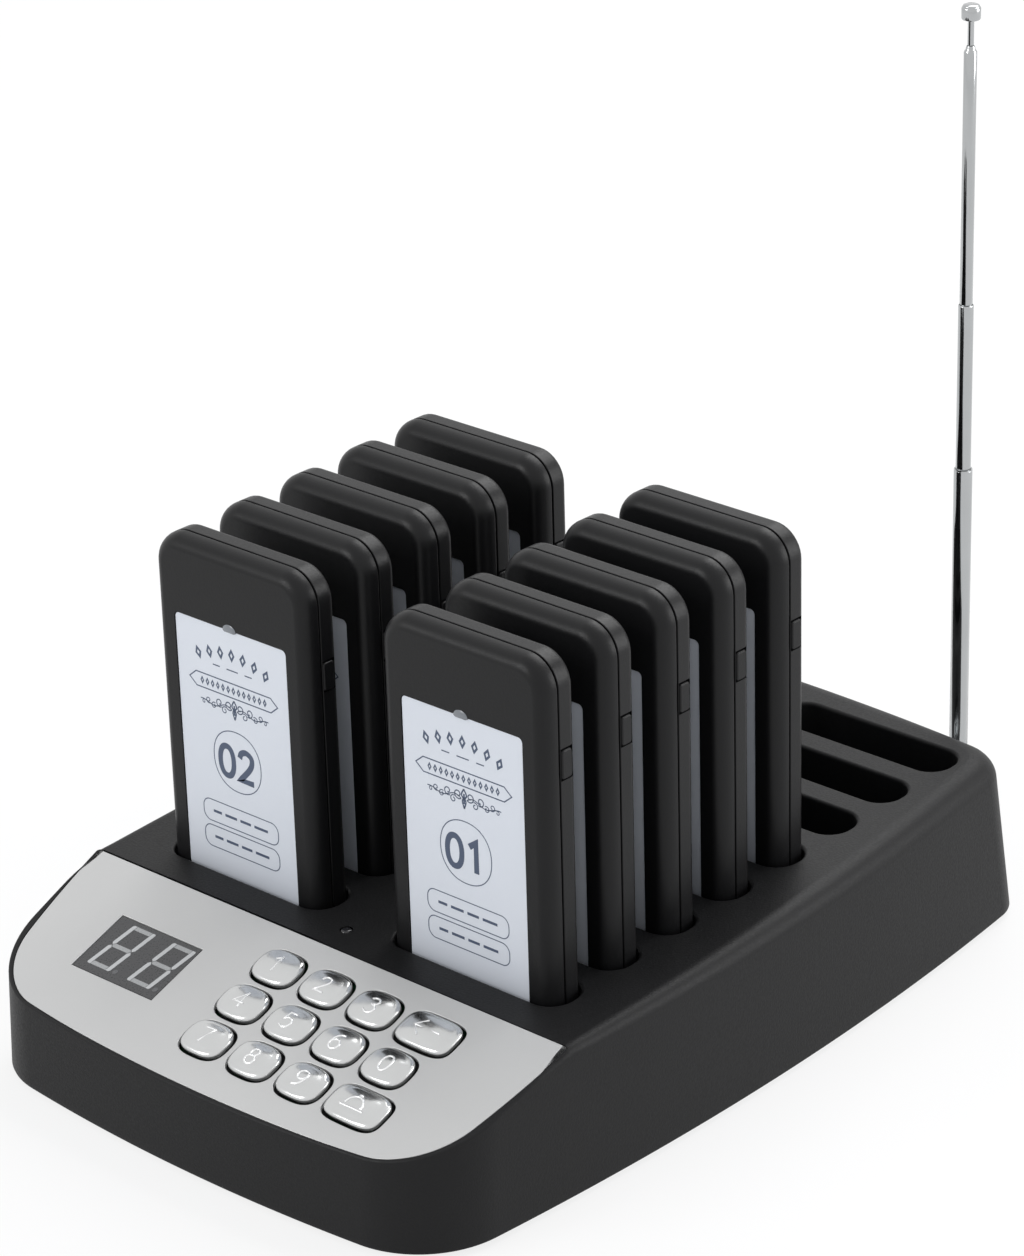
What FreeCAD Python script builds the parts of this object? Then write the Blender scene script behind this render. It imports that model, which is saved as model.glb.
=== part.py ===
import FreeCAD, Part
import math
import os

from FreeCAD import Placement, Rotation, Vector

# A charging base for restaurant guest pagers, with ten pagers standing in its sixteen slots.
# Millimetres. X runs across the base, +Y to its back and +Z up. The origin is on the table,
# under the middle of the whole object.

# Base housing
foot_height = 1.5            # the housing's lower edge above the table
base_length = 235.6          # front edge to back edge, low down
base_half_width = 80.1       # at the widest place
widest_from_front = 103.9
front_arc_radius = 521.0
side_arc_radius = 883.0
back_arc_radius = 660.0
front_corner_radius = 24.3
back_corner_radius = 13.0
front_draft = 3.0            # degrees
back_draft = 10.0
wall = 2.5
crease_from_front = 50.0     # where the keypad panel meets the deck
crease_height = 39.1         # above the housing's lower edge
deck_slope = 2.23            # degrees, rising to the back
panel_slope = 19.85          # degrees, falling to the front
panel_edge_bevel = 0.8
deck_edge_bevel = 3.0
corner_steps = 4             # chords in each round corner of what repeats, to keep it light
round_sides = 12             # sides of small posts and fasteners
foot_sides = 24

# Charging slots
slot_rows = 8
column_pitch = 74.8
slot_pitch = 20.43
first_slot_from_crease = 15.85
slot_length = 54.0
slot_width = 13.0
slot_end_radius = 6.0
slot_depth = 20.2
slot_wall = 1.6
slot_end_steps = 5           # chords in a quarter of a slot's round end

# Pagers
filled_rows = 5
pager_width = 51.0
pager_height = 105.0
pager_thickness = 10.5
pager_corner_radius = 8.0
pager_lean = 0.6             # each one stands this far left of its slot's middle
pager_floor_gap = 0.3
front_shell_depth = 4.75
seam_width = 0.5             # the groove between the shells
front_pillow_radius = 4.0
back_edge_bevel = 2.0
card_width = 37.4
card_height = 79.0
card_from_top = 19.7
card_thickness = 0.6
card_gap = 0.15
button_height = 7.2
button_depth = 3.6
button_from_top = 26.3
button_proud = 0.45
button_bevel = 0.35
button_body = 1.3
button_travel = 0.5
button_gap = 0.15

# Charge contacts in each slot
contact_length = 3.0
contact_thickness = 0.8
contact_spacing = 18.0
contact_offset = 2.4         # behind the slot's middle
contact_rise = 0.9           # above the slot's floor
contact_clearance = 0.3

# Keypad panel
plate_thickness = 1.0
plate_front = 51.0           # down the slope from the crease
plate_front_radius = 616.0
plate_half_width = 78.6
plate_widest = 20.0
plate_side_radius = 260.0
plate_corner_radius = 23.4
plate_back_corner_radius = 1.0
plate_back_gap = 0.4
plate_gap = 0.15
key_columns = 4
key_rows = 3
key_width = 12.8
key_depth = 10.1
wide_key_width = 16.3
key_pitch_x = 15.65
key_pitch_y = 12.7
first_key_x = -4.4
first_key_up = -37.3         # the bottom row, up the slope from the crease
key_corner_radius = 4.0
key_proud = 1.9
key_dome = 1.5               # how far its rounded rim reaches down
key_shoulder = 0.45
key_crown = 1.8
key_gap = 0.6
key_travel = 1.2
key_flange = 0.8
key_flange_width = 0.7
keypad_boss_radius = 1.5
key_under_plate = 0.2
key_stem = 4.0
key_stem_length = 2.1
stop_gap = 0.1

# Display window
window_left = -54.7
window_width = 27.8
window_bottom = -33.7
window_height = 18.5
window_gap = 0.15
window_sink = 0.1

# Rubber mat and circuit boards
mat_thickness = 0.8
ring_height = 1.1
ring_width = 1.2
ring_gap = 0.3
mat_margin = 1.0
board_thickness = 1.6
keypad_board_margin = 4.0
charging_board_height = 13.0
charging_board_half_width = 66.0
charging_board_margin = 9.0
board_gap = 0.3
post_radius = 3.0

# Bottom cover, feet and screws
cover_thickness = 2.0
cover_recess = 0.5
cover_gap = 0.2
foot_radius = 6.0
foot_recess = 0.8
foot_inset_x = 56.0
foot_from_front = 30.0
foot_from_back = 24.0
screw_radius = 1.5
screw_head_radius = 2.8
screw_head_height = 1.2
screw_length = 9.0
screw_gap = 0.15
boss_radius = 3.6
front_screws = (67.4, 38.6)      # half their spacing, and their distance from the front edge
middle_screws = (72.0, 137.6)
back_screws = (60.0, 223.0)

# Indicator light in the deck
indicator_radius = 1.5
indicator_from_crease = 7.4
indicator_flange = 1.0
indicator_length = 6.0

# Power inlet and switch in the back wall
inlet_x = -34.0
inlet_height = 17.0
inlet_nose_radius = 4.2
inlet_bore_radius = 2.75
inlet_pin_radius = 1.0
inlet_pin_sink = 1.0
inlet_body_width = 9.5
inlet_body_height = 11.0
inlet_body_length = 5.0
inlet_shoulder = 1.3         # its body's front face behind the wall's inner face
switch_x = -8.0
switch_height = 20.0
switch_width = 14.0
switch_tall = 9.5
switch_sleeve_wall = 1.4
switch_sleeve_depth = 7.0
rocker_gap = 0.25
rocker_swing_gap = 0.55
rocker_proud = 0.8
rocker_pivot_depth = 2.4
rocker_pin_radius = 0.9
rocker_angle = 14.0          # degrees from one side to the other
rocker_tail_gap = 1.0        # between its back and the sleeve's inner end

# Antenna
antenna_x = 41.3
antenna_setback = 7.0        # its middle line behind the housing's back edge
pivot_height = 22.0
elbow_radius = 4.0
socket_radius = 6.0
socket_barrel_radius = 4.0
socket_flange = 1.4
socket_pad_margin = 1.0
socket_pad_rise = 0.3
socket_tail = 2.0            # the nut inside the wall
socket_gap = 0.15
shank_radius = 2.6
shank_length = 9.0
running_gap = 0.05
fork_slot = 3.6
fork_web = 0.2
pin_sink = 0.5
tang_gap = 0.15
pivot_pin_radius = 1.0
lower_tube_radius = 2.35
middle_tube_radius = 1.95
upper_tube_radius = 1.65
tip_rod_radius = 0.8
tube_wall = 0.3
lower_tube_top = 109.0
middle_tube_shown = 44.0
upper_tube_shown = 66.5
tip_rod_shown = 6.5
tip_rod_length = 74.0
lower_tube_foot = 5.0        # above the pivot
lower_tube_floor = 9.0
upper_tube_short = 2.0       # shorter than the tube around it
tube_lip = 1.0
knob_radius = 2.4
knob_height = 3.8
tip_collar = 2.0
rim_bevel = 0.5

# Places worked out from the sizes above
overall_length = base_length + antenna_setback + elbow_radius
front_y = -overall_length / 2
back_y = front_y + base_length
widest_y = front_y + widest_from_front
crease_y = front_y + crease_from_front
base_z = foot_height
crease_z = base_z + crease_height
deck_rise = math.tan(math.radians(deck_slope))
panel_rise = math.tan(math.radians(panel_slope))
antenna_y = back_y + antenna_setback
pivot_z = base_z + pivot_height
slot_xs = [-column_pitch / 2, column_pitch / 2]
slot_ys = [crease_y + first_slot_from_crease + slot_pitch * row for row in range(slot_rows)]
panel_place = Placement(Vector(0, crease_y, crease_z), Rotation(Vector(1, 0, 0), panel_slope))


def deck_z(y):
    return crease_z + deck_rise * (y - crease_y)


def slot_floor(row):
    return deck_z(slot_ys[row]) - slot_depth


def box(x0, x1, y0, y1, z0, z1):
    return Part.makeBox(x1 - x0, y1 - y0, z1 - z0, Vector(x0, y0, z0))


def rod(radius, start, end):
    along = end - start
    return Part.makeCylinder(radius, along.Length, start, along)


def tube(outer, bore, start, end):
    reach = (end - start).normalize()
    return rod(outer, start, end).cut(rod(bore, start - reach, end + reach))


def prism(radius, x, y, z0, z1, sides=round_sides):
    # an upright post with a regular outline
    turns = [2 * math.pi * step / sides for step in range(sides + 1)]
    ring = [Vector(x + radius * math.cos(turn), y + radius * math.sin(turn), z0) for turn in turns]
    return Part.Face(Part.makePolygon(ring)).extrude(Vector(0, 0, z1 - z0))


def rounded_ring(x0, x1, y0, y1, radius, z, steps=corner_steps):
    # points round a level rectangle whose corners are quarter circles in equal chords
    corners = [
        (x1 - radius, y0 + radius, -90),
        (x1 - radius, y1 - radius, 0),
        (x0 + radius, y1 - radius, 90),
        (x0 + radius, y0 + radius, 180),
    ]
    points = []
    for x, y, start in corners:
        for step in range(steps + 1):
            turn = math.radians(start + 90 * step / steps)
            points.append(Vector(x + radius * math.cos(turn), y + radius * math.sin(turn), z))
    return points


def flat_face(points):
    return Part.Face(Part.makePolygon(points + [points[0]]))


def rounded_block(x0, x1, y0, y1, radius, z0, z1, steps=corner_steps):
    face = flat_face(rounded_ring(x0, x1, y0, y1, radius, z0, steps))
    return face.extrude(Vector(0, 0, z1 - z0))


def stacked(rings):
    # a solid through level rings of equal point counts, closed by the first and the last
    faces = [flat_face(rings[0]), flat_face(rings[-1])]
    for lower, upper in zip(rings, rings[1:]):
        for here in range(len(lower)):
            after = (here + 1) % len(lower)
            faces.append(flat_face([lower[here], lower[after], upper[after], upper[here]]))
    shell = Part.makeShell(faces)
    shell.sewShape()
    solid = Part.makeSolid(shell)
    if solid.Volume < 0:
        solid.reverse()
    return solid


# Outlines made of four large arcs and four corner arcs

def touching_circle(centre_a, radius_a, centre_b, radius_b, radius, ahead):
    # middle of a small circle that touches two large ones from inside, on the side `ahead`
    reach_a = radius_a - radius
    reach_b = radius_b - radius
    across = centre_b - centre_a
    apart = across.Length
    along = (reach_a ** 2 - reach_b ** 2 + apart ** 2) / (2 * apart)
    aside = math.sqrt(reach_a ** 2 - along ** 2)
    foot = centre_a + across * (along / apart)
    square = Vector(-across.y, across.x, 0) * (aside / apart)
    return max((foot + square, foot - square), key=lambda point: point.dot(ahead))


def on_circle(centre, radius, towards):
    return centre + (towards - centre).normalize() * radius


def mirrored(point):
    return Vector(-point.x, point.y, point.z)


def housing_outline(inset, z):
    # the housing's plan, moved in by `inset`: bowed front, sides and back, joined by corner arcs
    front_radius = front_arc_radius - inset
    side_radius = side_arc_radius - inset
    back_radius = back_arc_radius - inset
    front_centre = Vector(0, front_y + front_arc_radius, z)
    side_centre = Vector(base_half_width - side_arc_radius, widest_y, z)
    back_centre = Vector(0, back_y - back_arc_radius, z)
    corner_f = front_corner_radius - inset
    corner_b = back_corner_radius - inset
    middle_f = touching_circle(
        front_centre, front_radius, side_centre, side_radius, corner_f, Vector(1, -1, 0))
    middle_b = touching_circle(
        side_centre, side_radius, back_centre, back_radius, corner_b, Vector(1, 1, 0))
    a = on_circle(front_centre, front_radius, middle_f)
    b = on_circle(side_centre, side_radius, middle_f)
    c = on_circle(side_centre, side_radius, middle_b)
    d = on_circle(back_centre, back_radius, middle_b)
    halfway_f = on_circle(middle_f, corner_f, (a + b) * 0.5)
    halfway_b = on_circle(middle_b, corner_b, (c + d) * 0.5)
    side_middle = side_centre + Vector(side_radius, 0, 0)
    arcs = [
        (mirrored(a), front_centre - Vector(0, front_radius, 0), a),
        (a, halfway_f, b),
        (b, side_middle, c),
        (c, halfway_b, d),
        (d, back_centre + Vector(0, back_radius, 0), mirrored(d)),
        (mirrored(d), mirrored(halfway_b), mirrored(c)),
        (mirrored(c), mirrored(side_middle), mirrored(b)),
        (mirrored(b), mirrored(halfway_f), mirrored(a)),
    ]
    return Part.Wire([Part.Arc(*points).toShape() for points in arcs])


def leaning_prism(inset, lean, z0, z1):
    # the plan carried upwards along a slanting line, so that one end wall leans by `lean` degrees
    shift = math.tan(math.radians(lean))
    plan = housing_outline(inset, z0)
    plan.translate(Vector(0, shift * (z0 - base_z), 0))
    return Part.Face(plan).extrude(Vector(0, shift * (z1 - z0), z1 - z0))


def drafted_block(inset, z0, z1):
    # the housing's walls: what a prism leaning back and one leaning forwards have in common
    return leaning_prism(inset, -back_draft, z0, z1).common(
        leaning_prism(inset, front_draft, z0, z1))


def under_roof(drop, z0):
    # everything under the deck and the panel, both lowered by `drop` square to themselves
    deck_drop = drop / math.cos(math.radians(deck_slope))
    panel_drop = drop / math.cos(math.radians(panel_slope))
    shift = (deck_drop - panel_drop) / (deck_rise - panel_rise)
    ridge_z = crease_z - deck_drop + deck_rise * shift
    reach = 20.0
    back_reach = back_y - crease_y + reach
    front_reach = crease_from_front + reach
    points = [
        Vector(0, crease_y - front_reach, z0),
        Vector(0, crease_y + back_reach, z0),
        Vector(0, crease_y + back_reach, crease_z - deck_drop + deck_rise * back_reach),
        Vector(0, crease_y + shift, ridge_z),
        Vector(0, crease_y - front_reach, crease_z - panel_drop - panel_rise * front_reach),
    ]
    if points[4].z <= z0:
        run = (crease_z - panel_drop - z0) / panel_rise
        points = points[1:4] + [Vector(0, crease_y - run, z0)]
    half = base_half_width + reach
    side = Part.Face(Part.makePolygon(points + [points[0]]))
    prism = side.extrude(Vector(2 * half, 0, 0))
    prism.translate(Vector(-half, 0, 0))
    return prism


def on_deck(point):
    return abs(point.z - deck_z(point.y)) < 0.01


def on_panel(point):
    return abs(point.z - crease_z - panel_rise * (point.y - crease_y)) < 0.01


def rim_edges(block, on_surface):
    # the edges round the deck or the panel, without the crease between the two
    edges = []
    for edge in block.Edges:
        points = [vertex.Point for vertex in edge.Vertexes]
        points.append(edge.valueAt((edge.FirstParameter + edge.LastParameter) / 2))
        if all(abs(point.y - crease_y) < 0.01 for point in points):
            continue
        if all(on_surface(point) for point in points):
            edges.append(edge)
    return edges


def bevelled(block):
    block = block.makeChamfer(deck_edge_bevel, rim_edges(block, on_deck))
    return block.makeChamfer(panel_edge_bevel, rim_edges(block, on_panel))


def slot_prism(x, y, z0, z1):
    half_length = slot_length / 2
    half_width = slot_width / 2
    return rounded_block(
        x - half_length, x + half_length, y - half_width, y + half_width,
        slot_end_radius, z0, z1, slot_end_steps)


def slot_walls(x, y, z0, z1):
    half_length = slot_length / 2 + slot_wall
    half_width = slot_width / 2 + slot_wall
    return box(x - half_length, x + half_length, y - half_width, y + half_width, z0, z1)


# Keypad panel pieces, drawn flat: x across, y up the slope from the crease, z out of the panel

def plate_wire(inset, z):
    front_centre = Vector(0, -plate_front + plate_front_radius, z)
    front_radius = plate_front_radius - inset
    side_centre = Vector(plate_half_width - plate_side_radius, plate_widest, z)
    side_radius = plate_side_radius - inset
    corner = plate_corner_radius - inset
    top = -plate_back_gap - inset
    middle = touching_circle(
        front_centre, front_radius, side_centre, side_radius, corner, Vector(1, -1, 0))
    a = on_circle(front_centre, front_radius, middle)
    b = on_circle(side_centre, side_radius, middle)
    halfway = on_circle(middle, corner, (a + b) * 0.5)

    def side_point(y):
        return Vector(side_centre.x + math.sqrt(side_radius ** 2 - (y - plate_widest) ** 2), y, z)

    r = plate_back_corner_radius
    c = side_point(top - r)
    d = Vector(side_point(top).x - r, top, z)
    bend = Vector(c.x - r + r * math.sqrt(0.5), top - r + r * math.sqrt(0.5), z)
    side_halfway = side_point((b.y + c.y) / 2)
    edges = [
        Part.Arc(mirrored(a), Vector(0, -plate_front + inset, z), a).toShape(),
        Part.Arc(a, halfway, b).toShape(),
        Part.Arc(b, side_halfway, c).toShape(),
        Part.Arc(c, bend, d).toShape(),
        Part.LineSegment(d, mirrored(d)).toShape(),
        Part.Arc(mirrored(d), mirrored(bend), mirrored(c)).toShape(),
        Part.Arc(mirrored(c), mirrored(side_halfway), mirrored(b)).toShape(),
        Part.Arc(mirrored(b), mirrored(halfway), mirrored(a)).toShape(),
    ]
    return Part.Wire(edges)


def key_names():
    # column by column, each from the top row down
    return [
        ["key_1", "key_4", "key_7"],
        ["key_2", "key_5", "key_8"],
        ["key_3", "key_6", "key_9"],
        ["key_delete", "key_0", "key_call"],
    ]


def key_spots():
    # name, middle across, middle up the slope, width
    spots = []
    for column, names in enumerate(key_names()):
        for row, name in enumerate(names):
            x = first_key_x + key_pitch_x * column
            y = first_key_up + key_pitch_y * (key_rows - 1 - row)
            width = key_width
            if name in ("key_delete", "key_call"):
                width = wide_key_width
                x += (wide_key_width - key_width) / 2
            spots.append((name, x, y, width))
    return spots


def around_keys(margin):
    spots = key_spots()
    x0 = min(x - width / 2 for _, x, _, width in spots) - margin
    x1 = max(x + width / 2 for _, x, _, width in spots) + margin
    y0 = min(y for _, _, y, _ in spots) - key_depth / 2 - margin
    y1 = max(y for _, _, y, _ in spots) + key_depth / 2 + margin
    return x0, x1, y0, y1


flange_top = -plate_thickness - key_under_plate
flange_bottom = flange_top - key_flange
stem_bottom = flange_bottom - key_stem_length
mat_bottom = stem_bottom - key_travel - stop_gap
mat_top = mat_bottom + mat_thickness
key_well_margin = key_flange_width + key_gap


def key_solid(x, y, width):
    half_w = width / 2
    half_d = key_depth / 2
    rings = []
    for inset, z in (
            (0.0, flange_top),
            (0.0, key_proud - key_dome),
            (key_shoulder, key_proud - key_shoulder),
            (key_crown, key_proud)):
        rings.append(rounded_ring(
            x - half_w + inset, x + half_w - inset, y - half_d + inset, y + half_d - inset,
            key_corner_radius - inset / 2, z))
    cap = stacked(rings)
    edge = key_flange_width
    flange = box(x - half_w - edge, x + half_w + edge, y - half_d - edge, y + half_d + edge,
                 flange_bottom, flange_top)
    half_stem = key_stem / 2
    stem = box(x - half_stem, x + half_stem, y - half_stem, y + half_stem,
               stem_bottom, flange_bottom)
    return cap.fuse([flange, stem]).removeSplitter()


def faceplate_solid():
    plate = Part.Face(plate_wire(plate_gap, -plate_thickness)).extrude(
        Vector(0, 0, plate_thickness))
    holes = []
    for _, x, y, width in key_spots():
        half_w = width / 2 + key_gap
        half_d = key_depth / 2 + key_gap
        holes.append(rounded_block(
            x - half_w, x + half_w, y - half_d, y + half_d,
            key_corner_radius + key_gap, -2 * plate_thickness, plate_thickness))
    holes.append(box(
        window_left, window_left + window_width, window_bottom, window_bottom + window_height,
        -2 * plate_thickness, plate_thickness))
    return plate.cut(holes)


def display_solid():
    return box(
        window_left + window_gap, window_left + window_width - window_gap,
        window_bottom + window_gap, window_bottom + window_height - window_gap,
        mat_bottom, -window_sink)


def mat_solid():
    x0, x1, y0, y1 = around_keys(mat_margin)
    mat = rounded_block(x0, x1, y0, y1, key_corner_radius, mat_bottom, mat_top)
    rings = []
    wells = []
    for _, x, y, _ in key_spots():
        inner = key_stem / 2 + ring_gap
        outer = inner + ring_width
        rings.append(box(x - outer, x + outer, y - outer, y + outer,
                         mat_top, mat_top + ring_height))
        wells.append(box(x - inner, x + inner, y - inner, y + inner,
                         mat_bottom - 1, mat_top + ring_height + 1))
    return mat.fuse(rings).cut(wells).removeSplitter()


def keypad_board_area():
    x0, x1, y0, y1 = around_keys(keypad_board_margin)
    x0 = min(x0, window_left - keypad_board_margin / 2)
    return x0, x1, y0, y1


def keypad_board():
    x0, x1, y0, y1 = keypad_board_area()
    board = box(x0, x1, y0, y1, mat_bottom - board_thickness, mat_bottom)
    board.Placement = panel_place
    return board


def keypad_boss_spots():
    # the four corners of the keypad board, where the housing holds it
    x0, x1, y0, y1 = keypad_board_area()
    inset = keypad_board_margin / 2
    return [(x, y) for x in (x0 + inset, x1 - inset) for y in (y0 + inset, y1 - inset)]


# The housing

def cover_screw_spots():
    return [
        (sign * x, front_y + from_front)
        for x, from_front in (front_screws, middle_screws, back_screws)
        for sign in (-1, 1)
    ]


cover_top = base_z + cover_recess + cover_thickness


def cavity():
    # the space inside the housing: its walls moved in, less the slot wells and the screw bosses
    loft_top = deck_z(back_y) + 10
    space = drafted_block(wall, base_z, loft_top).common(under_roof(wall, base_z - 1))
    keep = []
    for row, y in enumerate(slot_ys):
        for x in slot_xs:
            keep.append(slot_walls(x, y, slot_floor(row) - slot_wall, loft_top))
    for x, y in cover_screw_spots():
        keep.append(prism(boss_radius, x, y, cover_top, loft_top))
    keep.append(antenna_pad(boss_radius))
    bosses = []
    for x, y in keypad_boss_spots():
        boss = prism(keypad_boss_radius, x, y, mat_bottom, 0)
        boss.Placement = panel_place
        bosses.append(boss)
    return space.cut(keep + bosses + [switch_sleeve()])


def antenna_pad(inwards):
    # a flat round pad where the antenna socket is clamped to the sloping back wall
    start = Vector(antenna_x, back_wall_y(antenna_x, pivot_z) - wall - inwards, pivot_z)
    end = Vector(antenna_x, socket_face_y(), pivot_z)
    return rod(socket_radius + socket_pad_margin, start, end)


def back_wall_y(x, z):
    bow = back_arc_radius - math.sqrt(back_arc_radius ** 2 - x ** 2)
    return back_y - bow - (z - base_z) * math.tan(math.radians(back_draft))


def socket_face_y():
    # clear of the sloping wall at the pad's lower edge
    lowest = pivot_z - socket_radius - socket_pad_margin
    return back_wall_y(antenna_x, lowest) + socket_pad_rise


def base_housing():
    block = drafted_block(0.0, base_z, deck_z(back_y) + 10).common(under_roof(0.0, base_z - 1))
    block = bevelled(block)
    block = block.fuse(antenna_pad(0.0))
    cuts = [cavity()]
    for row, y in enumerate(slot_ys):
        for x in slot_xs:
            cuts.append(slot_prism(x, y, slot_floor(row), deck_z(y) + 5))
            for side in (-1, 1):
                middle = x + side * contact_spacing / 2
                half = contact_length / 2 + contact_clearance
                thick = contact_thickness / 2 + contact_clearance
                place = y + contact_offset
                cuts.append(box(middle - half, middle + half, place - thick, place + thick,
                                slot_floor(row) - 2 * slot_wall, slot_floor(row) + slot_wall))
    panel_cuts = [Part.Face(plate_wire(0.0, -plate_thickness)).extrude(Vector(0, 0, 5))]
    x0, x1, y0, y1 = around_keys(key_well_margin)
    panel_cuts.append(box(x0, x1, y0, y1, -4 * wall, 0))
    panel_cuts.append(box(
        window_left, window_left + window_width, window_bottom, window_bottom + window_height,
        -4 * wall, 0))
    for cut in panel_cuts:
        cut.Placement = panel_place
    cuts += panel_cuts
    indicator_y = crease_y + indicator_from_crease
    cuts.append(rod(indicator_radius + window_gap, Vector(0, indicator_y, crease_z - 2 * wall),
                    Vector(0, indicator_y, crease_z + wall)))
    for x, y in cover_screw_spots():
        cuts.append(prism(screw_radius, x, y, cover_top - 1, cover_top + screw_length))
    cuts.append(rod(socket_barrel_radius + socket_gap, Vector(antenna_x, back_y - 30, pivot_z),
                    Vector(antenna_x, back_y + 5, pivot_z)))
    inlet_z = base_z + inlet_height
    cuts.append(rod(inlet_nose_radius + socket_gap, Vector(inlet_x, back_y - 20, inlet_z),
                    Vector(inlet_x, back_y + 5, inlet_z)))
    cuts += switch_cuts()
    return block.cut(cuts).removeSplitter()


def bottom_cover():
    inset = wall + cover_gap
    z0 = base_z + cover_recess
    plate = drafted_block(inset, z0, cover_top)
    posts = [
        prism(post_radius, x, y, cover_top, base_z + charging_board_height)
        for x, y in board_post_spots()
    ]
    cuts = []
    for x, y in cover_screw_spots():
        cuts.append(prism(screw_radius + screw_gap, x, y, 0, cover_top + 1))
        cuts.append(prism(screw_head_radius + screw_gap, x, y, 0, z0 + screw_head_height))
    for x, y in foot_spots():
        cuts.append(prism(foot_radius + socket_gap, x, y, 0, z0 + foot_recess, foot_sides))
    return plate.fuse(posts).cut(cuts).removeSplitter()


def foot_spots():
    return [
        (x, y)
        for y in (front_y + foot_from_front, back_y - foot_from_back)
        for x in (-foot_inset_x, foot_inset_x)
    ]


def rubber_feet():
    top = base_z + cover_recess + foot_recess
    feet = []
    for x, y in foot_spots():
        feet.append(prism(foot_radius, x, y, 0, top, foot_sides))
    return Part.makeCompound(feet)


def cover_screws():
    z0 = base_z + cover_recess
    seat = z0 + screw_head_height
    screws = []
    for x, y in cover_screw_spots():
        head = prism(screw_head_radius, x, y, z0 + screw_gap, seat)
        shank = prism(screw_radius, x, y, seat, cover_top + screw_length - screw_gap)
        screws.append(head.fuse(shank).removeSplitter())
    return Part.makeCompound(screws)


# Charging board with its contacts

def charging_board_area():
    return (
        -charging_board_half_width, charging_board_half_width,
        slot_ys[0] - charging_board_margin, slot_ys[-1] + charging_board_margin)


def board_post_spots():
    x0, x1, y0, y1 = charging_board_area()
    inset = post_radius + 1.0
    middle = (slot_ys[3] + slot_ys[4]) / 2
    return [(x, y) for x in (x0 + inset, x1 - inset) for y in (y0 + inset, middle, y1 - inset)]


def charging_board():
    z0 = base_z + charging_board_height
    x0, x1, y0, y1 = charging_board_area()
    return box(x0, x1, y0, y1, z0, z0 + board_thickness)


def circuit_boards():
    return Part.makeCompound([charging_board(), keypad_board()])


def charge_contacts():
    z0 = base_z + charging_board_height + board_thickness
    blades = []
    for row, y in enumerate(slot_ys):
        top = slot_floor(row) + contact_rise
        for x in slot_xs:
            for side in (-1, 1):
                middle = x + side * contact_spacing / 2
                place = y + contact_offset
                blades.append(box(
                    middle - contact_length / 2, middle + contact_length / 2,
                    place - contact_thickness / 2, place + contact_thickness / 2, z0, top))
    return Part.makeCompound(blades)


def indicator_lens():
    y = crease_y + indicator_from_crease
    top = deck_z(y)
    seat = top - wall / math.cos(math.radians(deck_slope)) - board_gap
    stalk = rod(indicator_radius, Vector(0, y, seat), Vector(0, y, top))
    flange = rod(indicator_radius + indicator_flange, Vector(0, y, seat - indicator_flange),
                 Vector(0, y, seat))
    return stalk.fuse(flange).removeSplitter()


# Power inlet and switch

def dc_inlet():
    z = base_z + inlet_height
    face = back_wall_y(inlet_x, z)
    shoulder = face - wall - inlet_shoulder
    nose = rod(inlet_nose_radius, Vector(inlet_x, shoulder, z), Vector(inlet_x, face, z))
    body = box(
        inlet_x - inlet_body_width / 2, inlet_x + inlet_body_width / 2,
        shoulder - inlet_body_length, shoulder,
        z - inlet_body_height / 2, z + inlet_body_height / 2)
    bottom = shoulder - inlet_body_length + inlet_shoulder
    bore = rod(inlet_bore_radius, Vector(inlet_x, bottom, z), Vector(inlet_x, face + 1, z))
    pin = rod(inlet_pin_radius, Vector(inlet_x, bottom, z),
              Vector(inlet_x, face - inlet_pin_sink, z))
    return body.fuse(nose).cut(bore).fuse(pin).removeSplitter()


def switch_middle():
    z = base_z + switch_height
    return Vector(switch_x, back_wall_y(switch_x, z), z)


def in_back_wall(shape):
    # lean a piece drawn square to the wall into the wall's draft
    shape.rotate(switch_middle(), Vector(1, 0, 0), back_draft)
    return shape


def switch_block(margin, depth, out):
    middle = switch_middle()
    half_w = switch_width / 2 + margin
    half_t = switch_tall / 2 + margin
    return box(middle.x - half_w, middle.x + half_w, middle.y - depth, middle.y + out,
               middle.z - half_t, middle.z + half_t)


def switch_sleeve():
    # the moulded sleeve behind the wall that holds the rocker's pins
    return in_back_wall(switch_block(switch_sleeve_wall, switch_sleeve_depth, 0.0))


def switch_pivot():
    middle = switch_middle()
    return Vector(middle.x, middle.y - rocker_pivot_depth, middle.z)


def switch_cuts():
    pivot = switch_pivot()
    reach = Vector(switch_width / 2 + switch_sleeve_wall + 1, 0, 0)
    pins = rod(rocker_pin_radius + running_gap, pivot - reach, pivot + reach)
    opening = switch_block(0.0, switch_sleeve_depth + wall, wall)
    return [in_back_wall(opening), in_back_wall(pins)]


def power_switch():
    # a rocker with a shallow vee across its face and a pin at each side, standing upper side in
    middle = switch_middle()
    half_w = switch_width / 2 - rocker_gap
    reach = switch_tall / 2 - rocker_gap - rocker_swing_gap
    crown = middle.y + rocker_proud
    rise = reach * math.tan(math.radians(rocker_angle / 2))
    back = middle.y - switch_sleeve_depth + rocker_tail_gap
    points = [
        Vector(0, crown, middle.z),
        Vector(0, crown + rise, middle.z + reach),
        Vector(0, back, middle.z + reach / 2),
        Vector(0, back, middle.z - reach / 2),
        Vector(0, crown + rise, middle.z - reach),
    ]
    side = Part.Face(Part.makePolygon(points + [points[0]]))
    rocker = side.extrude(Vector(2 * half_w, 0, 0))
    rocker.translate(Vector(middle.x - half_w, 0, 0))
    pivot = switch_pivot()
    pin_reach = Vector(switch_width / 2 + switch_sleeve_wall, 0, 0)
    rocker = rocker.fuse(rod(rocker_pin_radius, pivot - pin_reach, pivot + pin_reach))
    rocker.rotate(pivot, Vector(1, 0, 0), rocker_angle / 2)
    return in_back_wall(rocker.removeSplitter())


# Antenna: a socket, a turning fork and four telescoping sections

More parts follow.
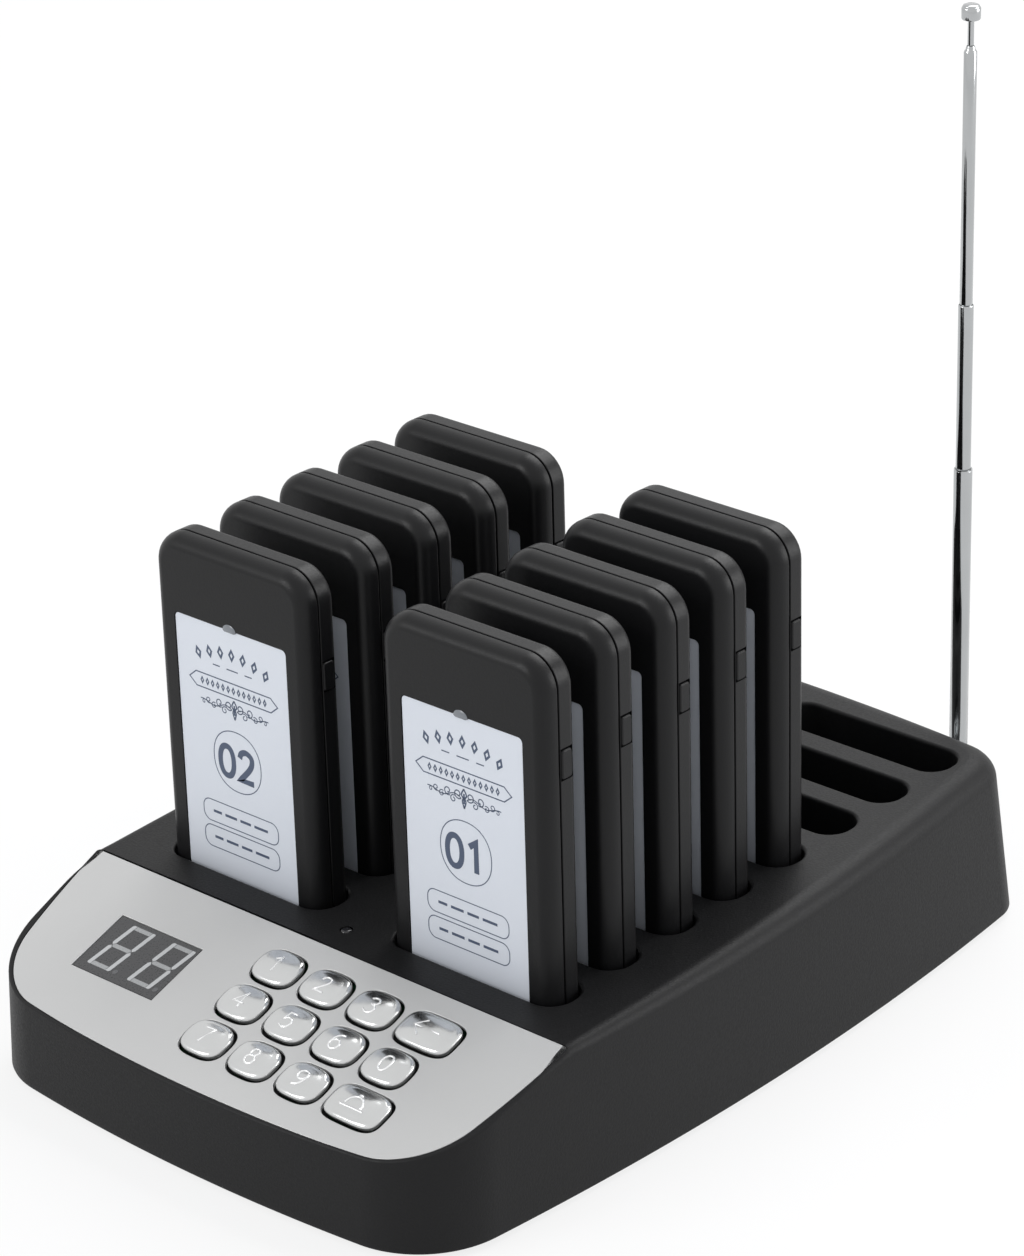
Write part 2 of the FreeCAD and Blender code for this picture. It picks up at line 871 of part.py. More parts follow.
def antenna_socket():
    face = socket_face_y()
    inside = back_wall_y(antenna_x, pivot_z) - wall - boss_radius
    y_axis = Vector(antenna_x, 0, pivot_z)
    flange = rod(socket_radius, y_axis + Vector(0, face, 0),
                 y_axis + Vector(0, face + socket_flange, 0))
    tail = inside - socket_tail
    barrel = rod(socket_barrel_radius, y_axis + Vector(0, tail, 0), y_axis + Vector(0, face, 0))
    nut = rod(socket_radius, y_axis + Vector(0, tail, 0), y_axis + Vector(0, inside, 0))
    bore = rod(shank_radius + running_gap, y_axis + Vector(0, tail - 1, 0),
               y_axis + Vector(0, face + socket_flange + 1, 0))
    return flange.fuse([barrel, nut]).cut(bore).removeSplitter()


def antenna_swivel():
    start = socket_face_y() + socket_flange + board_gap
    web_end = antenna_y - elbow_radius
    y_axis = Vector(antenna_x, 0, pivot_z)
    shank = rod(shank_radius, y_axis + Vector(0, start - shank_length, 0),
                y_axis + Vector(0, start, 0))
    collar = rod(elbow_radius, y_axis + Vector(0, start, 0), y_axis + Vector(0, web_end, 0))
    half = elbow_radius
    arms = box(antenna_x - half, antenna_x + half, web_end - fork_web, antenna_y,
               pivot_z - half, pivot_z + half)
    knuckle = rod(elbow_radius, Vector(antenna_x - half, antenna_y, pivot_z),
                  Vector(antenna_x + half, antenna_y, pivot_z))
    gap = box(antenna_x - fork_slot / 2, antenna_x + fork_slot / 2, web_end,
              antenna_y + 2 * half, pivot_z - 2 * half, pivot_z + 2 * half)
    fork = arms.fuse(knuckle).cut(gap)
    pin = rod(pivot_pin_radius, Vector(antenna_x - half + pin_sink, antenna_y, pivot_z),
              Vector(antenna_x + half - pin_sink, antenna_y, pivot_z))
    return collar.fuse([shank, fork, pin]).removeSplitter()


def antenna_lower_tube():
    half = fork_slot / 2 - tang_gap
    tang_radius = elbow_radius - board_gap
    tang = rod(tang_radius, Vector(antenna_x - half, antenna_y, pivot_z),
               Vector(antenna_x + half, antenna_y, pivot_z))
    neck = box(antenna_x - half, antenna_x + half, antenna_y - half, antenna_y + half,
               pivot_z, pivot_z + lower_tube_foot + 1)
    foot = Vector(antenna_x, antenna_y, pivot_z + lower_tube_foot)
    top = Vector(antenna_x, antenna_y, base_z + lower_tube_top)
    floor = Vector(antenna_x, antenna_y, pivot_z + lower_tube_floor)
    sleeve = rod(lower_tube_radius, foot, top)
    bore = rod(lower_tube_radius - tube_wall - running_gap, floor, top + Vector(0, 0, 1))
    eye = rod(pivot_pin_radius + running_gap, Vector(antenna_x - 5, antenna_y, pivot_z),
              Vector(antenna_x + 5, antenna_y, pivot_z))
    return tang.fuse([neck, sleeve]).cut([bore, eye]).removeSplitter()


middle_tube_top = base_z + lower_tube_top + middle_tube_shown
upper_tube_top = middle_tube_top + upper_tube_shown
nested_length = base_z + lower_tube_top - pivot_z - lower_tube_floor


def antenna_middle_tube():
    top = Vector(antenna_x, antenna_y, middle_tube_top)
    bottom = top - Vector(0, 0, nested_length)
    return tube(middle_tube_radius, upper_tube_radius + running_gap, bottom, top)


def antenna_upper_tube():
    top = Vector(antenna_x, antenna_y, upper_tube_top)
    bottom = top - Vector(0, 0, nested_length - upper_tube_short)
    sleeve = rod(upper_tube_radius, bottom, top)
    rim = [edge for edge in sleeve.Edges if edge.BoundBox.ZMin > top.z - 0.01]
    sleeve = sleeve.makeChamfer(rim_bevel, rim)
    bore = rod(upper_tube_radius - tube_wall, bottom - Vector(0, 0, 1),
               top - Vector(0, 0, tube_lip))
    eye = rod(tip_rod_radius + running_gap, bottom, top + Vector(0, 0, 1))
    return sleeve.cut([bore, eye])


def antenna_tip():
    shoulder = Vector(antenna_x, antenna_y, upper_tube_top + tip_rod_shown)
    bottom = shoulder - Vector(0, 0, tip_rod_length)
    shaft = rod(tip_rod_radius, bottom, shoulder)
    collar = rod(upper_tube_radius - tube_wall - running_gap, bottom,
                 bottom + Vector(0, 0, tip_collar))
    knob = rod(knob_radius, shoulder, shoulder + Vector(0, 0, knob_height))
    rims = [edge for edge in knob.Edges if edge.BoundBox.ZLength < 0.01]
    knob = knob.makeChamfer(rim_bevel, rims)
    return shaft.fuse([collar, knob]).removeSplitter()


# Pagers

def pager_numbers():
    # number, column side, row: odd ones stand on the right, even ones on the left
    spots = []
    for row in range(filled_rows):
        spots.append((2 * row + 1, 1, row))
        spots.append((2 * row + 2, 0, row))
    return spots


def upright(shape, corner):
    # stand a piece drawn flat: its y becomes up, its z becomes forwards
    shape.Placement = Placement(corner, Rotation(Vector(1, 0, 0), 90))
    return shape


def pager_ring(inset, depth):
    # the pager's outline from the front, `depth` behind its face
    half = pager_width / 2 - inset
    return rounded_ring(-half, half, inset, pager_height - inset,
                        pager_corner_radius - inset, -depth)


def pager_shell(profile):
    # a shell through outlines, each given by its inset and its depth
    return stacked([pager_ring(inset, depth) for inset, depth in profile])


def card_block(grow, front, back):
    half = card_width / 2 + grow
    top = pager_height - card_from_top + grow
    bottom = pager_height - card_from_top - card_height - grow
    return box(-half, half, bottom, top, -back, -front)


button_face = pager_width / 2 + button_proud
button_seat = button_face - button_proud - button_body
button_low = pager_height - button_from_top - button_height / 2
button_high = button_low + button_height
button_front = front_shell_depth + seam_width + button_gap
button_back = button_front + button_depth


def pager_case():
    # a pillowed front shell and a flat-sided back shell, with a groove where they meet
    pillow = front_pillow_radius
    shoulder = pillow * (1 - math.sqrt(0.5))
    front = pager_shell([
        (0.0, front_shell_depth), (0.0, pillow), (shoulder, shoulder), (pillow, 0.0)])
    front = front.cut(card_block(card_gap, -1.0, card_thickness))
    edge = back_edge_bevel
    back = pager_shell([
        (edge, pager_thickness), (0.0, pager_thickness - edge),
        (0.0, front_shell_depth + seam_width), (seam_width, front_shell_depth)])
    cuts = [box(
        button_seat - button_travel - button_gap, button_face + 1,
        button_low - button_gap, button_high + button_gap,
        -button_back - button_gap, -button_front + button_gap)]
    for side in (-1, 1):
        middle = side * contact_spacing / 2 + pager_lean
        half = contact_length / 2 + 2 * contact_clearance
        thick = contact_thickness / 2 + 2 * contact_clearance
        depth = pager_thickness / 2 + contact_offset
        cuts.append(box(middle - half, middle + half, -1, contact_rise + contact_clearance,
                        -depth - thick, -depth + thick))
    return [front, back.cut(cuts).removeSplitter()]


def pager_card():
    return card_block(0.0, 0.0, card_thickness)


def pager_button():
    slab = box(button_seat, button_face, button_low, button_high, -button_back, -button_front)
    ends = [edge for edge in slab.Edges
            if edge.BoundBox.XMin > button_face - 0.01 and edge.BoundBox.ZLength > 1]
    return slab.makeChamfer(button_bevel, ends)


# Writing the pieces

def write(name, shape):
    if not shape.isValid():
        print("not valid:", name)
    shape.exportStep("parts/" + name + ".step")
    print(name, len(shape.Solids), round(shape.Volume, 1))


def write_base():
    write("base_housing", base_housing())
    write("bottom_cover", bottom_cover())
    write("rubber_feet", rubber_feet())
    write("cover_screws", cover_screws())
    write("circuit_boards", circuit_boards())
    write("charge_contacts", charge_contacts())
    write("indicator_lens", indicator_lens())
    write("dc_inlet", dc_inlet())
    write("power_switch", power_switch())


def write_panel():
    flat = {
        "faceplate": faceplate_solid(),
        "display_module": display_solid(),
        "keypad_mat": mat_solid(),
    }
    for name, x, y, width in key_spots():
        flat[name] = key_solid(x, y, width)
    for name, shape in flat.items():
        shape.Placement = panel_place
        write(name, shape)


def write_antenna():
    write("antenna_socket", antenna_socket())
    write("antenna_swivel", antenna_swivel())
    write("antenna_lower_tube", antenna_lower_tube())
    write("antenna_middle_tube", antenna_middle_tube())
    write("antenna_upper_tube", antenna_upper_tube())
    write("antenna_tip", antenna_tip())


def write_pagers():
    shells = pager_case()
    card = pager_card()
    button = pager_button()
    for number, column, row in pager_numbers():
        corner = Vector(
            slot_xs[column] - pager_lean,
            slot_ys[row] - pager_thickness / 2,
            slot_floor(row) + pager_floor_gap)
        name = "pager_%02d" % number
        pieces = [upright(shell.copy(), corner) for shell in shells]
        write(name + "_case", Part.makeCompound(pieces))
        write(name + "_card", upright(card.copy(), corner))
        write(name + "_button", upright(button.copy(), corner))


os.makedirs("parts", exist_ok=True)
write_base()
write_panel()
write_antenna()
write_pagers()
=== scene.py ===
import math

import bmesh
import bpy
import numpy as np
from mathutils import Matrix
from mathutils.geometry import delaunay_2d_cdt


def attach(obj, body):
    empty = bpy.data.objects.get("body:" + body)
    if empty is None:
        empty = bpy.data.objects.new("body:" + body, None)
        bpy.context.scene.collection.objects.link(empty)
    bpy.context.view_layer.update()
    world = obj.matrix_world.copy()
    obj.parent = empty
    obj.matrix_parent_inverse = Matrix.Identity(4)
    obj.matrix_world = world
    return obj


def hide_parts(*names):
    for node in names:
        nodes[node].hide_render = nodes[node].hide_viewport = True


# The dressed look of a guest pager base with its ten pagers and its telescopic antenna.
# Sizes below are in millimetres, in the same frame as the solids, and turn to metres in addPiece.

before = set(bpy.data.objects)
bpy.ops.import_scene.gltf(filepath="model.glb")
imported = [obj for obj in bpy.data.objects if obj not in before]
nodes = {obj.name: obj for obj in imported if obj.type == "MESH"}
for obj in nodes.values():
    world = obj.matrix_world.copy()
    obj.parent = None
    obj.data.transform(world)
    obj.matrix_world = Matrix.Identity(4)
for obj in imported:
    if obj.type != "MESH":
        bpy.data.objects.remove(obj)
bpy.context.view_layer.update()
print("frame loaded:", len(nodes), "nodes")


# Small tools for shapes

def smoothStep(value):  # 0 below 0, 1 above 1, easing in and out between
    t = np.clip(value, 0.0, 1.0)
    return t * t * (3 - 2 * t)


def gridFaces(rows, columns, closed=True):
    # quads between neighbours of a grid of points stored row by row
    row = np.arange(rows - 1)[:, None]
    column = np.arange(columns if closed else columns - 1)[None, :]
    here = row * columns + column
    beside = row * columns + (column + 1) % columns
    return np.stack([here, beside, beside + columns, here + columns], axis=-1).reshape(-1, 4)


def joined(parts):
    # several (points, faces) shapes as one
    faces = []
    start = 0
    for points, partFaces in parts:
        plain = partFaces.tolist() if isinstance(partFaces, np.ndarray) else partFaces
        faces += [[index + start for index in face] for face in plain]
        start += len(points)
    return np.concatenate([points for points, _ in parts]), faces


def loft(rings, capStart=False, capEnd=False):
    # rings is (rows, columns, 3): every ring is joined to the next, and an end ring may be filled
    rows, columns, _ = rings.shape
    parts = [(rings.reshape(-1, 3), gridFaces(rows, columns))]
    if capStart:
        parts.append((rings[0], [list(range(columns))]))
    if capEnd:
        parts.append((rings[-1], [list(range(columns))]))
    return joined(parts)


def lathe(profile, sides=64):
    # profile is (radius, height): each point goes round the upright axis in a full circle
    profile = np.asarray(profile, float)
    turn = np.linspace(0, 2 * np.pi, sides, endpoint=False)
    radius = profile[:, 0][:, None]
    return loft(np.stack([
        radius * np.cos(turn), radius * np.sin(turn),
        np.repeat(profile[:, 1][:, None], sides, axis=1)], axis=-1))


def quarterArc(radius, steps=6):
    # offsets (inwards, upwards) along a quarter circle from a wall to a top face
    turn = np.linspace(0, np.pi / 2, steps + 1)
    return np.stack([radius * (1 - np.cos(turn)), radius * np.sin(turn)], axis=1)


def roundedLoop(halfWidth, halfHeight, radius, cornerSteps=10):
    # a rectangle with quarter-circle corners, counter-clockwise, centred on 0
    turn = np.linspace(0, np.pi / 2, cornerSteps + 1)
    corner = np.stack([np.cos(turn), np.sin(turn)], axis=1) * radius
    loops = []
    for quarter, (signX, signY) in enumerate(((1, 1), (-1, 1), (-1, -1), (1, -1))):
        angle = quarter * np.pi / 2
        spin = np.array([[math.cos(angle), math.sin(angle)], [-math.sin(angle), math.cos(angle)]])
        middle = np.array([signX * (halfWidth - radius), signY * (halfHeight - radius)])
        loops.append(corner @ spin + middle)
    return np.concatenate(loops)


def pillowLoop(halfWidth, halfHeight, power, count=72):
    # a squared ellipse: |x / halfWidth| ^ power + |y / halfHeight| ^ power = 1
    turn = np.linspace(0, 2 * np.pi, count, endpoint=False)
    cosine, sine = np.cos(turn), np.sin(turn)
    reach = (np.abs(cosine) ** power + np.abs(sine) ** power) ** (-1 / power)
    return np.stack([halfWidth * reach * cosine, halfHeight * reach * sine], axis=1)


def atHeight(loop, height):
    return np.column_stack([loop, np.full(len(loop), height)])


def flatFill(outer, holes):
    # triangles over the flat region inside `outer` and outside every hole
    loops = [outer] + holes
    starts = np.cumsum([0] + [len(loop) for loop in loops])
    borders = [list(range(starts[i], starts[i + 1])) for i in range(len(loops))]
    found = delaunay_2d_cdt(np.concatenate(loops).tolist(), [], borders, 2, 1e-7)
    return np.array([tuple(point) for point in found[0]]), [list(face) for face in found[2]]


def placed(name, data):
    # a new object in the scene
    thing = bpy.data.objects.new(name, data)
    bpy.context.scene.collection.objects.link(thing)
    return thing


def addPiece(name, shape, material, body, hides=(), sharpAngle=40, flatten=True):
    # (points, faces) in millimetres become a smooth mesh that rides on a body
    points, faces = shape
    mesh = bpy.data.meshes.new(name)
    mesh.from_pydata((np.asarray(points) * 0.001).tolist(), [], faces)
    work = bmesh.new()
    work.from_mesh(mesh)
    bmesh.ops.remove_doubles(work, verts=work.verts, dist=2e-6)
    bmesh.ops.recalc_face_normals(work, faces=work.faces)
    work.to_mesh(mesh)
    work.free()
    mesh.shade_smooth()
    mesh.set_sharp_from_angle(angle=math.radians(sharpAngle))
    piece = placed(name, mesh)
    mesh.materials.append(material)
    if flatten:
        steady = piece.modifiers.new("flatFaces", "WEIGHTED_NORMAL")
        steady.keep_sharp = True
    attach(piece, body)
    if hides:
        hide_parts(*hides)


def softenedCopy(name, node, width, material, body):
    # a CAD solid's own mesh with its flat faces joined and its edges rounded by `width`
    mesh = nodes[node].data.copy()
    mesh.name = name
    work = bmesh.new()
    work.from_mesh(mesh)
    bmesh.ops.remove_doubles(work, verts=work.verts, dist=1e-6)
    bmesh.ops.dissolve_limit(
        work, angle_limit=math.radians(0.5), verts=work.verts, edges=work.edges)
    work.to_mesh(mesh)
    work.free()
    mesh.materials.clear()
    mesh.materials.append(material)
    mesh.shade_smooth()
    piece = placed(name, mesh)
    rounded = piece.modifiers.new("softEdges", "BEVEL")
    rounded.width = width * 0.001
    rounded.segments = 3
    rounded.limit_method = "ANGLE"
    rounded.angle_limit = math.radians(30)
    rounded.harden_normals = True
    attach(piece, body)
    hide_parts(node)


# Materials

def linear(hexColour):
    # an sRGB hex value as linear red, green and blue with full alpha
    values = [int(hexColour[start:start + 2], 16) / 255 for start in (1, 3, 5)]
    return [v / 12.92 if v <= 0.04045 else ((v + 0.055) / 1.055) ** 2.4 for v in values] + [1.0]


def addNode(tree, kind, inputs=None, **settings):
    # one node; an input is set to a value, or linked where the value is another node's output
    node = tree.nodes.new(kind)
    for key, value in settings.items():
        setattr(node, key, value)
    for key, value in (inputs or {}).items():
        if isinstance(value, bpy.types.NodeSocket):
            tree.links.new(value, node.inputs[key])
        else:
            node.inputs[key].default_value = value
    return node


def newMaterial(name):
    material = bpy.data.materials.new(name)
    material.use_nodes = True
    tree = material.node_tree
    tree.nodes.clear()
    return material, tree


def grainMaterial(name, dark, light, roughness, grainMm, bump, metallic=0.0, shine=0.5,
                  patchMm=40.0, roughnessSpread=0.06):
    # a moulded or painted surface: slow colour drift, fine grain in the relief and in the gloss
    material, tree = newMaterial(name)
    place = addNode(tree, "ShaderNodeTexCoord").outputs["Object"]
    drift = addNode(tree, "ShaderNodeTexNoise",
                    {"Vector": place, "Scale": 1000 / patchMm, "Detail": 3.0, "Roughness": 0.5})
    grain = addNode(tree, "ShaderNodeTexNoise",
                    {"Vector": place, "Scale": 1000 / grainMm, "Detail": 2.0, "Roughness": 0.6})
    colour = addNode(tree, "ShaderNodeMix",
                     {"Factor": drift.outputs["Fac"]}, data_type="RGBA")
    colour.inputs["A"].default_value = linear(dark)
    colour.inputs["B"].default_value = linear(light)
    gloss = addNode(tree, "ShaderNodeMapRange", {
        "Value": grain.outputs["Fac"], "From Min": 0.3, "From Max": 0.7,
        "To Min": roughness - roughnessSpread, "To Max": roughness + roughnessSpread})
    shader = addNode(tree, "ShaderNodeBsdfPrincipled", {
        "Base Color": colour.outputs[2], "Metallic": metallic,
        "Roughness": gloss.outputs["Result"]})
    if bump:
        relief = addNode(tree, "ShaderNodeBump", {
            "Strength": bump, "Distance": grainMm * 0.0002, "Height": grain.outputs["Fac"]})
        tree.links.new(relief.outputs["Normal"], shader.inputs["Normal"])
    if not metallic:
        shader.inputs["Specular IOR Level"].default_value = shine
    addNode(tree, "ShaderNodeOutputMaterial", {"Surface": shader.outputs["BSDF"]})
    return material


# Black ABS moulded in a spark-eroded tool: an even dark skin whose fine grain swallows highlights
mouldedAbs = grainMaterial("mouldedBlackAbs", "#131314", "#171718", 0.5, 0.6, 0.4, shine=0.2)
# The pagers' ABS is moulded in a smoother tool, so their edges catch a clearer light
pagerAbs = grainMaterial("smoothBlackAbs", "#131314", "#171718", 0.38, 0.5, 0.25, shine=0.22)
# Silver lacquer over a plastic sheet: pale, even, with metal flakes too fine to be seen singly
silverLacquer = grainMaterial("silverLacqueredSheet", "#c0c0bf", "#c6c6c5", 0.4, 0.5, 0.15,
                              metallic=0.35, roughnessSpread=0.04)
# Chrome-plated ABS keys: satin from handling, so reflections are broad and soft
platedKey = grainMaterial("chromePlatedKeycap", "#c8c9c9", "#d0d1d1", 0.21, 6.0, 0.0,
                          metallic=1.0, patchMm=9.0, roughnessSpread=0.03)
# The keys' raised figures are painted paler than the chrome: a painted highlight standing in for the
# light that catches their raised strokes
paleHighlightFigure = grainMaterial("paintedHighlightFigure", "#eceded", "#f6f6f6", 0.24, 2.0, 0.0,
                           metallic=0.7, patchMm=3.0, roughnessSpread=0.03)
# Chromed brass tube, drawn and polished: mirror-like with faint handling marks
polishedChrome = grainMaterial("polishedChromedTube", "#adafb0", "#b8babb", 0.12, 4.0, 0.0,
                               metallic=1.0, patchMm=12.0, roughnessSpread=0.02)
# Satin coated card with a cool silver tint
silverCard = grainMaterial("satinCoatedCard", "#d2d7df", "#d9dde4", 0.36, 0.4, 0.0, patchMm=60.0)
# Slate blue print ink, flat and thin
printInk = grainMaterial("slatePrintInk", "#414d63", "#4a566d", 0.5, 0.4, 0.05)
# Grey filled epoxy face of the display module
epoxyFace = grainMaterial("greyEpoxyFace", "#3f3f40", "#464647", 0.3, 0.5, 0.15)
# Milky epoxy light bars of the display, unlit
milkyBar = grainMaterial("milkyLightBar", "#a0a1a1", "#a9aaaa", 0.28, 0.5, 0.1)
# The upright bars stand a little clearer under their milky film
brightBar = grainMaterial("clearerLightBar", "#bdbebe", "#c6c7c7", 0.22, 0.5, 0.1)
# The unlit points are hardly paler than the face round them
hazyPoint = grainMaterial("hazyLightPoint", "#5c5c5e", "#646466", 0.28, 0.5, 0.1)
# Dark smoked lens of the indicator
smokedLens = grainMaterial("smokedClearLens", "#232325", "#29292c", 0.12, 0.8, 0.02)
# Clear acrylic tab over the pager's light
clearTab = grainMaterial("frostedAcrylicTab", "#6f7378", "#84888d", 0.15, 0.8, 0.02)
# Black rubber of the feet and the keypad mat
blackRubber = grainMaterial("mouldedBlackRubber", "#1a1a1a", "#202020", 0.75, 0.8, 0.6)
# Zinc-plated steel screws
zincSteel = grainMaterial("zincPlatedSteel", "#8f9294", "#a4a7a9", 0.35, 0.5, 0.2, metallic=1.0)
# Glass-fibre board with green solder mask
greenBoard = grainMaterial("greenSolderMask", "#14532d", "#1b6236", 0.35, 0.8, 0.1)
# Gold-plated spring contacts
goldContact = grainMaterial("goldPlatedContact", "#c9a04c", "#dbb45f", 0.25, 0.4, 0.05, metallic=1.0)
# Glossy black moulding of the switch and the power inlet
glossBlack = grainMaterial("glossBlackMoulding", "#0e0e0f", "#131314", 0.22, 0.5, 0.1)

carried = {
    "circuit_boards": greenBoard, "charge_contacts": goldContact, "keypad_mat": blackRubber,
    "bottom_cover": mouldedAbs, "cover_screws": zincSteel,
}


def refinish(nodeName, material):
    # a solid of the frame that is kept as it is gets its real finish
    mesh = nodes[nodeName].data
    mesh.materials.clear()
    mesh.materials.append(material)


for nodeName, material in carried.items():
    refinish(nodeName, material)
print("materials made")


# The base housing

base = {
    "frontY": -123.3, "backY": 112.3, "halfWidth": 80.1, "widestY": -19.4,
    "frontRadius": 521.0, "sideRadius": 883.0, "backRadius": 660.0,
    "frontCorner": 24.3, "backCorner": 13.0,
    "lowestZ": 1.5, "creaseY": -73.3, "creaseZ": 40.6,
    "deckSlope": 2.23, "panelSlope": 19.85, "frontDraft": 3.0, "backDraft": 10.0,
    "frontLeanOver": 26.0, "backLeanFrom": -10.0, "backLeanOver": 100.0,
    "wall": 2.5, "rimRounding": 0.55, "rimStrip": 0.12,
    "deckRoundingFront": 2.4, "deckRoundingBack": 6.5, "footRounding": 0.6,
    "columnPitch": 74.8, "slotPitch": 20.43, "firstSlot": 15.85,
    "slotDepth": 20.2, "slotMouth": 0.9, "slotFoot": 1.2, "indicatorY": -65.9,
}
slotSize = {"halfLength": 27.0, "halfWidth": 6.5, "endRadius": 6.0, "draft": 0.25}

deckRise = math.tan(math.radians(base["deckSlope"]))
panelRise = math.tan(math.radians(base["panelSlope"]))
backLean = math.tan(math.radians(base["backDraft"]))
frontLean = math.tan(math.radians(base["frontDraft"]))
slotYs = base["creaseY"] + base["firstSlot"] + base["slotPitch"] * np.arange(8)
slotXs = (-base["columnPitch"] / 2, base["columnPitch"] / 2)


def roofHeight(y):  # the deck behind the crease, the keypad panel before it
    rise = np.where(y >= base["creaseY"], deckRise, panelRise)
    return base["creaseZ"] + rise * (y - base["creaseY"])


def slotFloor(y):
    return roofHeight(y) - base["slotDepth"]


def touchingCentre(centreA, radiusA, centreB, radiusB, radius, ahead):
    # middle of a circle that touches two larger ones from inside, on the side `ahead`
    reachA, reachB = radiusA - radius, radiusB - radius
    across = centreB - centreA
    apart = np.hypot(*across)
    along = (reachA ** 2 - reachB ** 2 + apart ** 2) / (2 * apart)
    aside = math.sqrt(reachA ** 2 - along ** 2)
    foot = centreA + across * along / apart
    square = np.array([-across[1], across[0]]) * aside / apart
    return max(foot + square, foot - square, key=lambda point: point @ ahead)


def normalAngle(centre, towards):
    return math.atan2(towards[1] - centre[1], towards[0] - centre[0])


def planArcs():
    # right half of the plan as arcs (centre, radius, first and last normal angle), front to back
    frontCentre = np.array([0, base["frontY"] + base["frontRadius"]])
    sideCentre = np.array([base["halfWidth"] - base["sideRadius"], base["widestY"]])
    backCentre = np.array([0, base["backY"] - base["backRadius"]])
    cornerF = touchingCentre(frontCentre, base["frontRadius"], sideCentre, base["sideRadius"],
                             base["frontCorner"], np.array([1, -1]))
    cornerB = touchingCentre(sideCentre, base["sideRadius"], backCentre, base["backRadius"],
                             base["backCorner"], np.array([1, 1]))
    a = normalAngle(frontCentre, cornerF)
    b = normalAngle(sideCentre, cornerF)
    crease = math.asin((base["creaseY"] - base["widestY"]) / base["sideRadius"])
    c = normalAngle(sideCentre, cornerB)
    d = normalAngle(backCentre, cornerB)
    return [
        (frontCentre, base["frontRadius"], -math.pi / 2, a, 16),
        (cornerF, base["frontCorner"], a, b, 24),
        (sideCentre, base["sideRadius"], b, crease, 8),
        (sideCentre, base["sideRadius"], crease, c, 44),
        (cornerB, base["backCorner"], c, d, 18),
        (backCentre, base["backRadius"], d, math.pi / 2, 20),
    ]


def planTable():
    # centre, radius and normal angle of every sample of the right half, and where the crease is
    centres, radii, angles = [], [], []
    arcs = planArcs()
    for index, (centre, radius, start, end, count) in enumerate(arcs):
        turn = np.linspace(start, end, count + 1)
        turn = turn if index == len(arcs) - 1 else turn[:-1]
        centres.append(np.repeat(centre[None, :], len(turn), axis=0))
        radii.append(np.full(len(turn), radius))
        angles.append(turn)
    creaseIndex = sum(arc[4] for arc in arcs[:3])
    return np.concatenate(centres), np.concatenate(radii), np.concatenate(angles), creaseIndex


planCentres, planRadii, planAngles, creaseSample = planTable()


def planRing(inset, height):
    # one closed ring round the housing at a height (one, or one per sample), moved in by `inset`
    radius = planRadii - inset
    x = planCentres[:, 0] + radius * np.cos(planAngles)
    y = planCentres[:, 1] + radius * np.sin(planAngles)
    backShare = smoothStep((y - base["backLeanFrom"]) / base["backLeanOver"])
    frontShare = smoothStep((base["creaseY"] - y) / base["frontLeanOver"])
    y = y + (height - base["lowestZ"]) * (frontLean * frontShare - backLean * backShare)
    z = np.broadcast_to(height, x.shape)
    right = np.column_stack([x, y, z])
    left = right[::-1][1:-1] * np.array([-1, 1, 1])
    return np.concatenate([right, left])


def halfOf(ring):  # the right half's own samples, front to back
    return ring[:len(planAngles)]


def roofRing(inset):
    # the ring `inset` from the wall and lying in the deck and the keypad panel
    height = np.full(len(planAngles), base["creaseZ"])
    for _ in range(12):
        height = roofHeight(halfOf(planRing(inset, height))[:, 1])
        height[creaseSample] = base["creaseZ"]
    ring = planRing(inset, height)
    for index in (creaseSample, len(ring) - creaseSample):
        ring[index, 1] = base["creaseY"]
    return ring


def edgeRounding():
    # how far the rounding reaches: crisp round the panel, growing towards the back of the deck
    y = halfOf(roofRing(0.0))[:, 1]
    back = (y - base["creaseY"]) / (base["backY"] - base["creaseY"])
    grown = base["deckRoundingFront"] + (
        base["deckRoundingBack"] - base["deckRoundingFront"]) * np.clip(back, 0, 1) ** 0.65
    panel = base["rimRounding"] + (base["deckRoundingFront"] - base["rimRounding"]) * smoothStep(
        (y - base["creaseY"] + 12) / 12)
    right = np.where(back > 0, grown, panel)
    return np.concatenate([right, right[::-1][1:-1]])


def housingShell():
    # outer wall, edge rounding and a narrow flat strip, ring above ring
    rounding = edgeRounding()
    half = rounding[:len(planAngles)]
    top = roofRing(0.0)
    floorRings = [planRing(base["wall"], base["lowestZ"] + 2.6),
                  planRing(base["wall"], base["lowestZ"])]
    foot = base["footRounding"]
    for step in (0.0, 0.5, 1.0):
        bend = math.radians(90 * step)
        floorRings.append(planRing(
            foot * (1 - math.sin(bend)), base["lowestZ"] + foot * (1 - math.cos(bend))))
    topHeight = halfOf(top)[:, 2]
    low = base["lowestZ"] + foot
    wallRings = []
    for share in np.linspace(0, 1, 13)[1:]:
        wallRings.append(planRing(0.0, low + (topHeight - half - low) * share))
    wallTop = wallRings[-1]
    inner = roofRing(half)
    bends = []
    weight = math.sqrt(0.5)
    for t in np.linspace(0, 1, 11)[1:]:
        share = np.array([(1 - t) ** 2, 2 * weight * t * (1 - t), t ** 2])
        share = share / share.sum()
        bends.append(share[0] * wallTop + share[1] * top + share[2] * inner)
    strip = roofRing(half + base["rimStrip"])
    return np.stack(floorRings + wallRings + bends + [strip])


backWall = {"lowRow": 6, "highRow": 12, "firstX": -47.0, "lastX": 5.0, "fromY": 90.0}
inletHole = {"x": -34.0, "z": 18.5, "radius": 4.35}
switchHole = {"x": -8.0, "z": 21.5, "halfWidth": 7.0, "halfHeight": 4.75, "depth": 7.0}


def backWallY(x, z):
    bow = base["backRadius"] - np.sqrt(base["backRadius"] ** 2 - x ** 2)
    return base["backY"] - bow - (z - base["lowestZ"]) * backLean


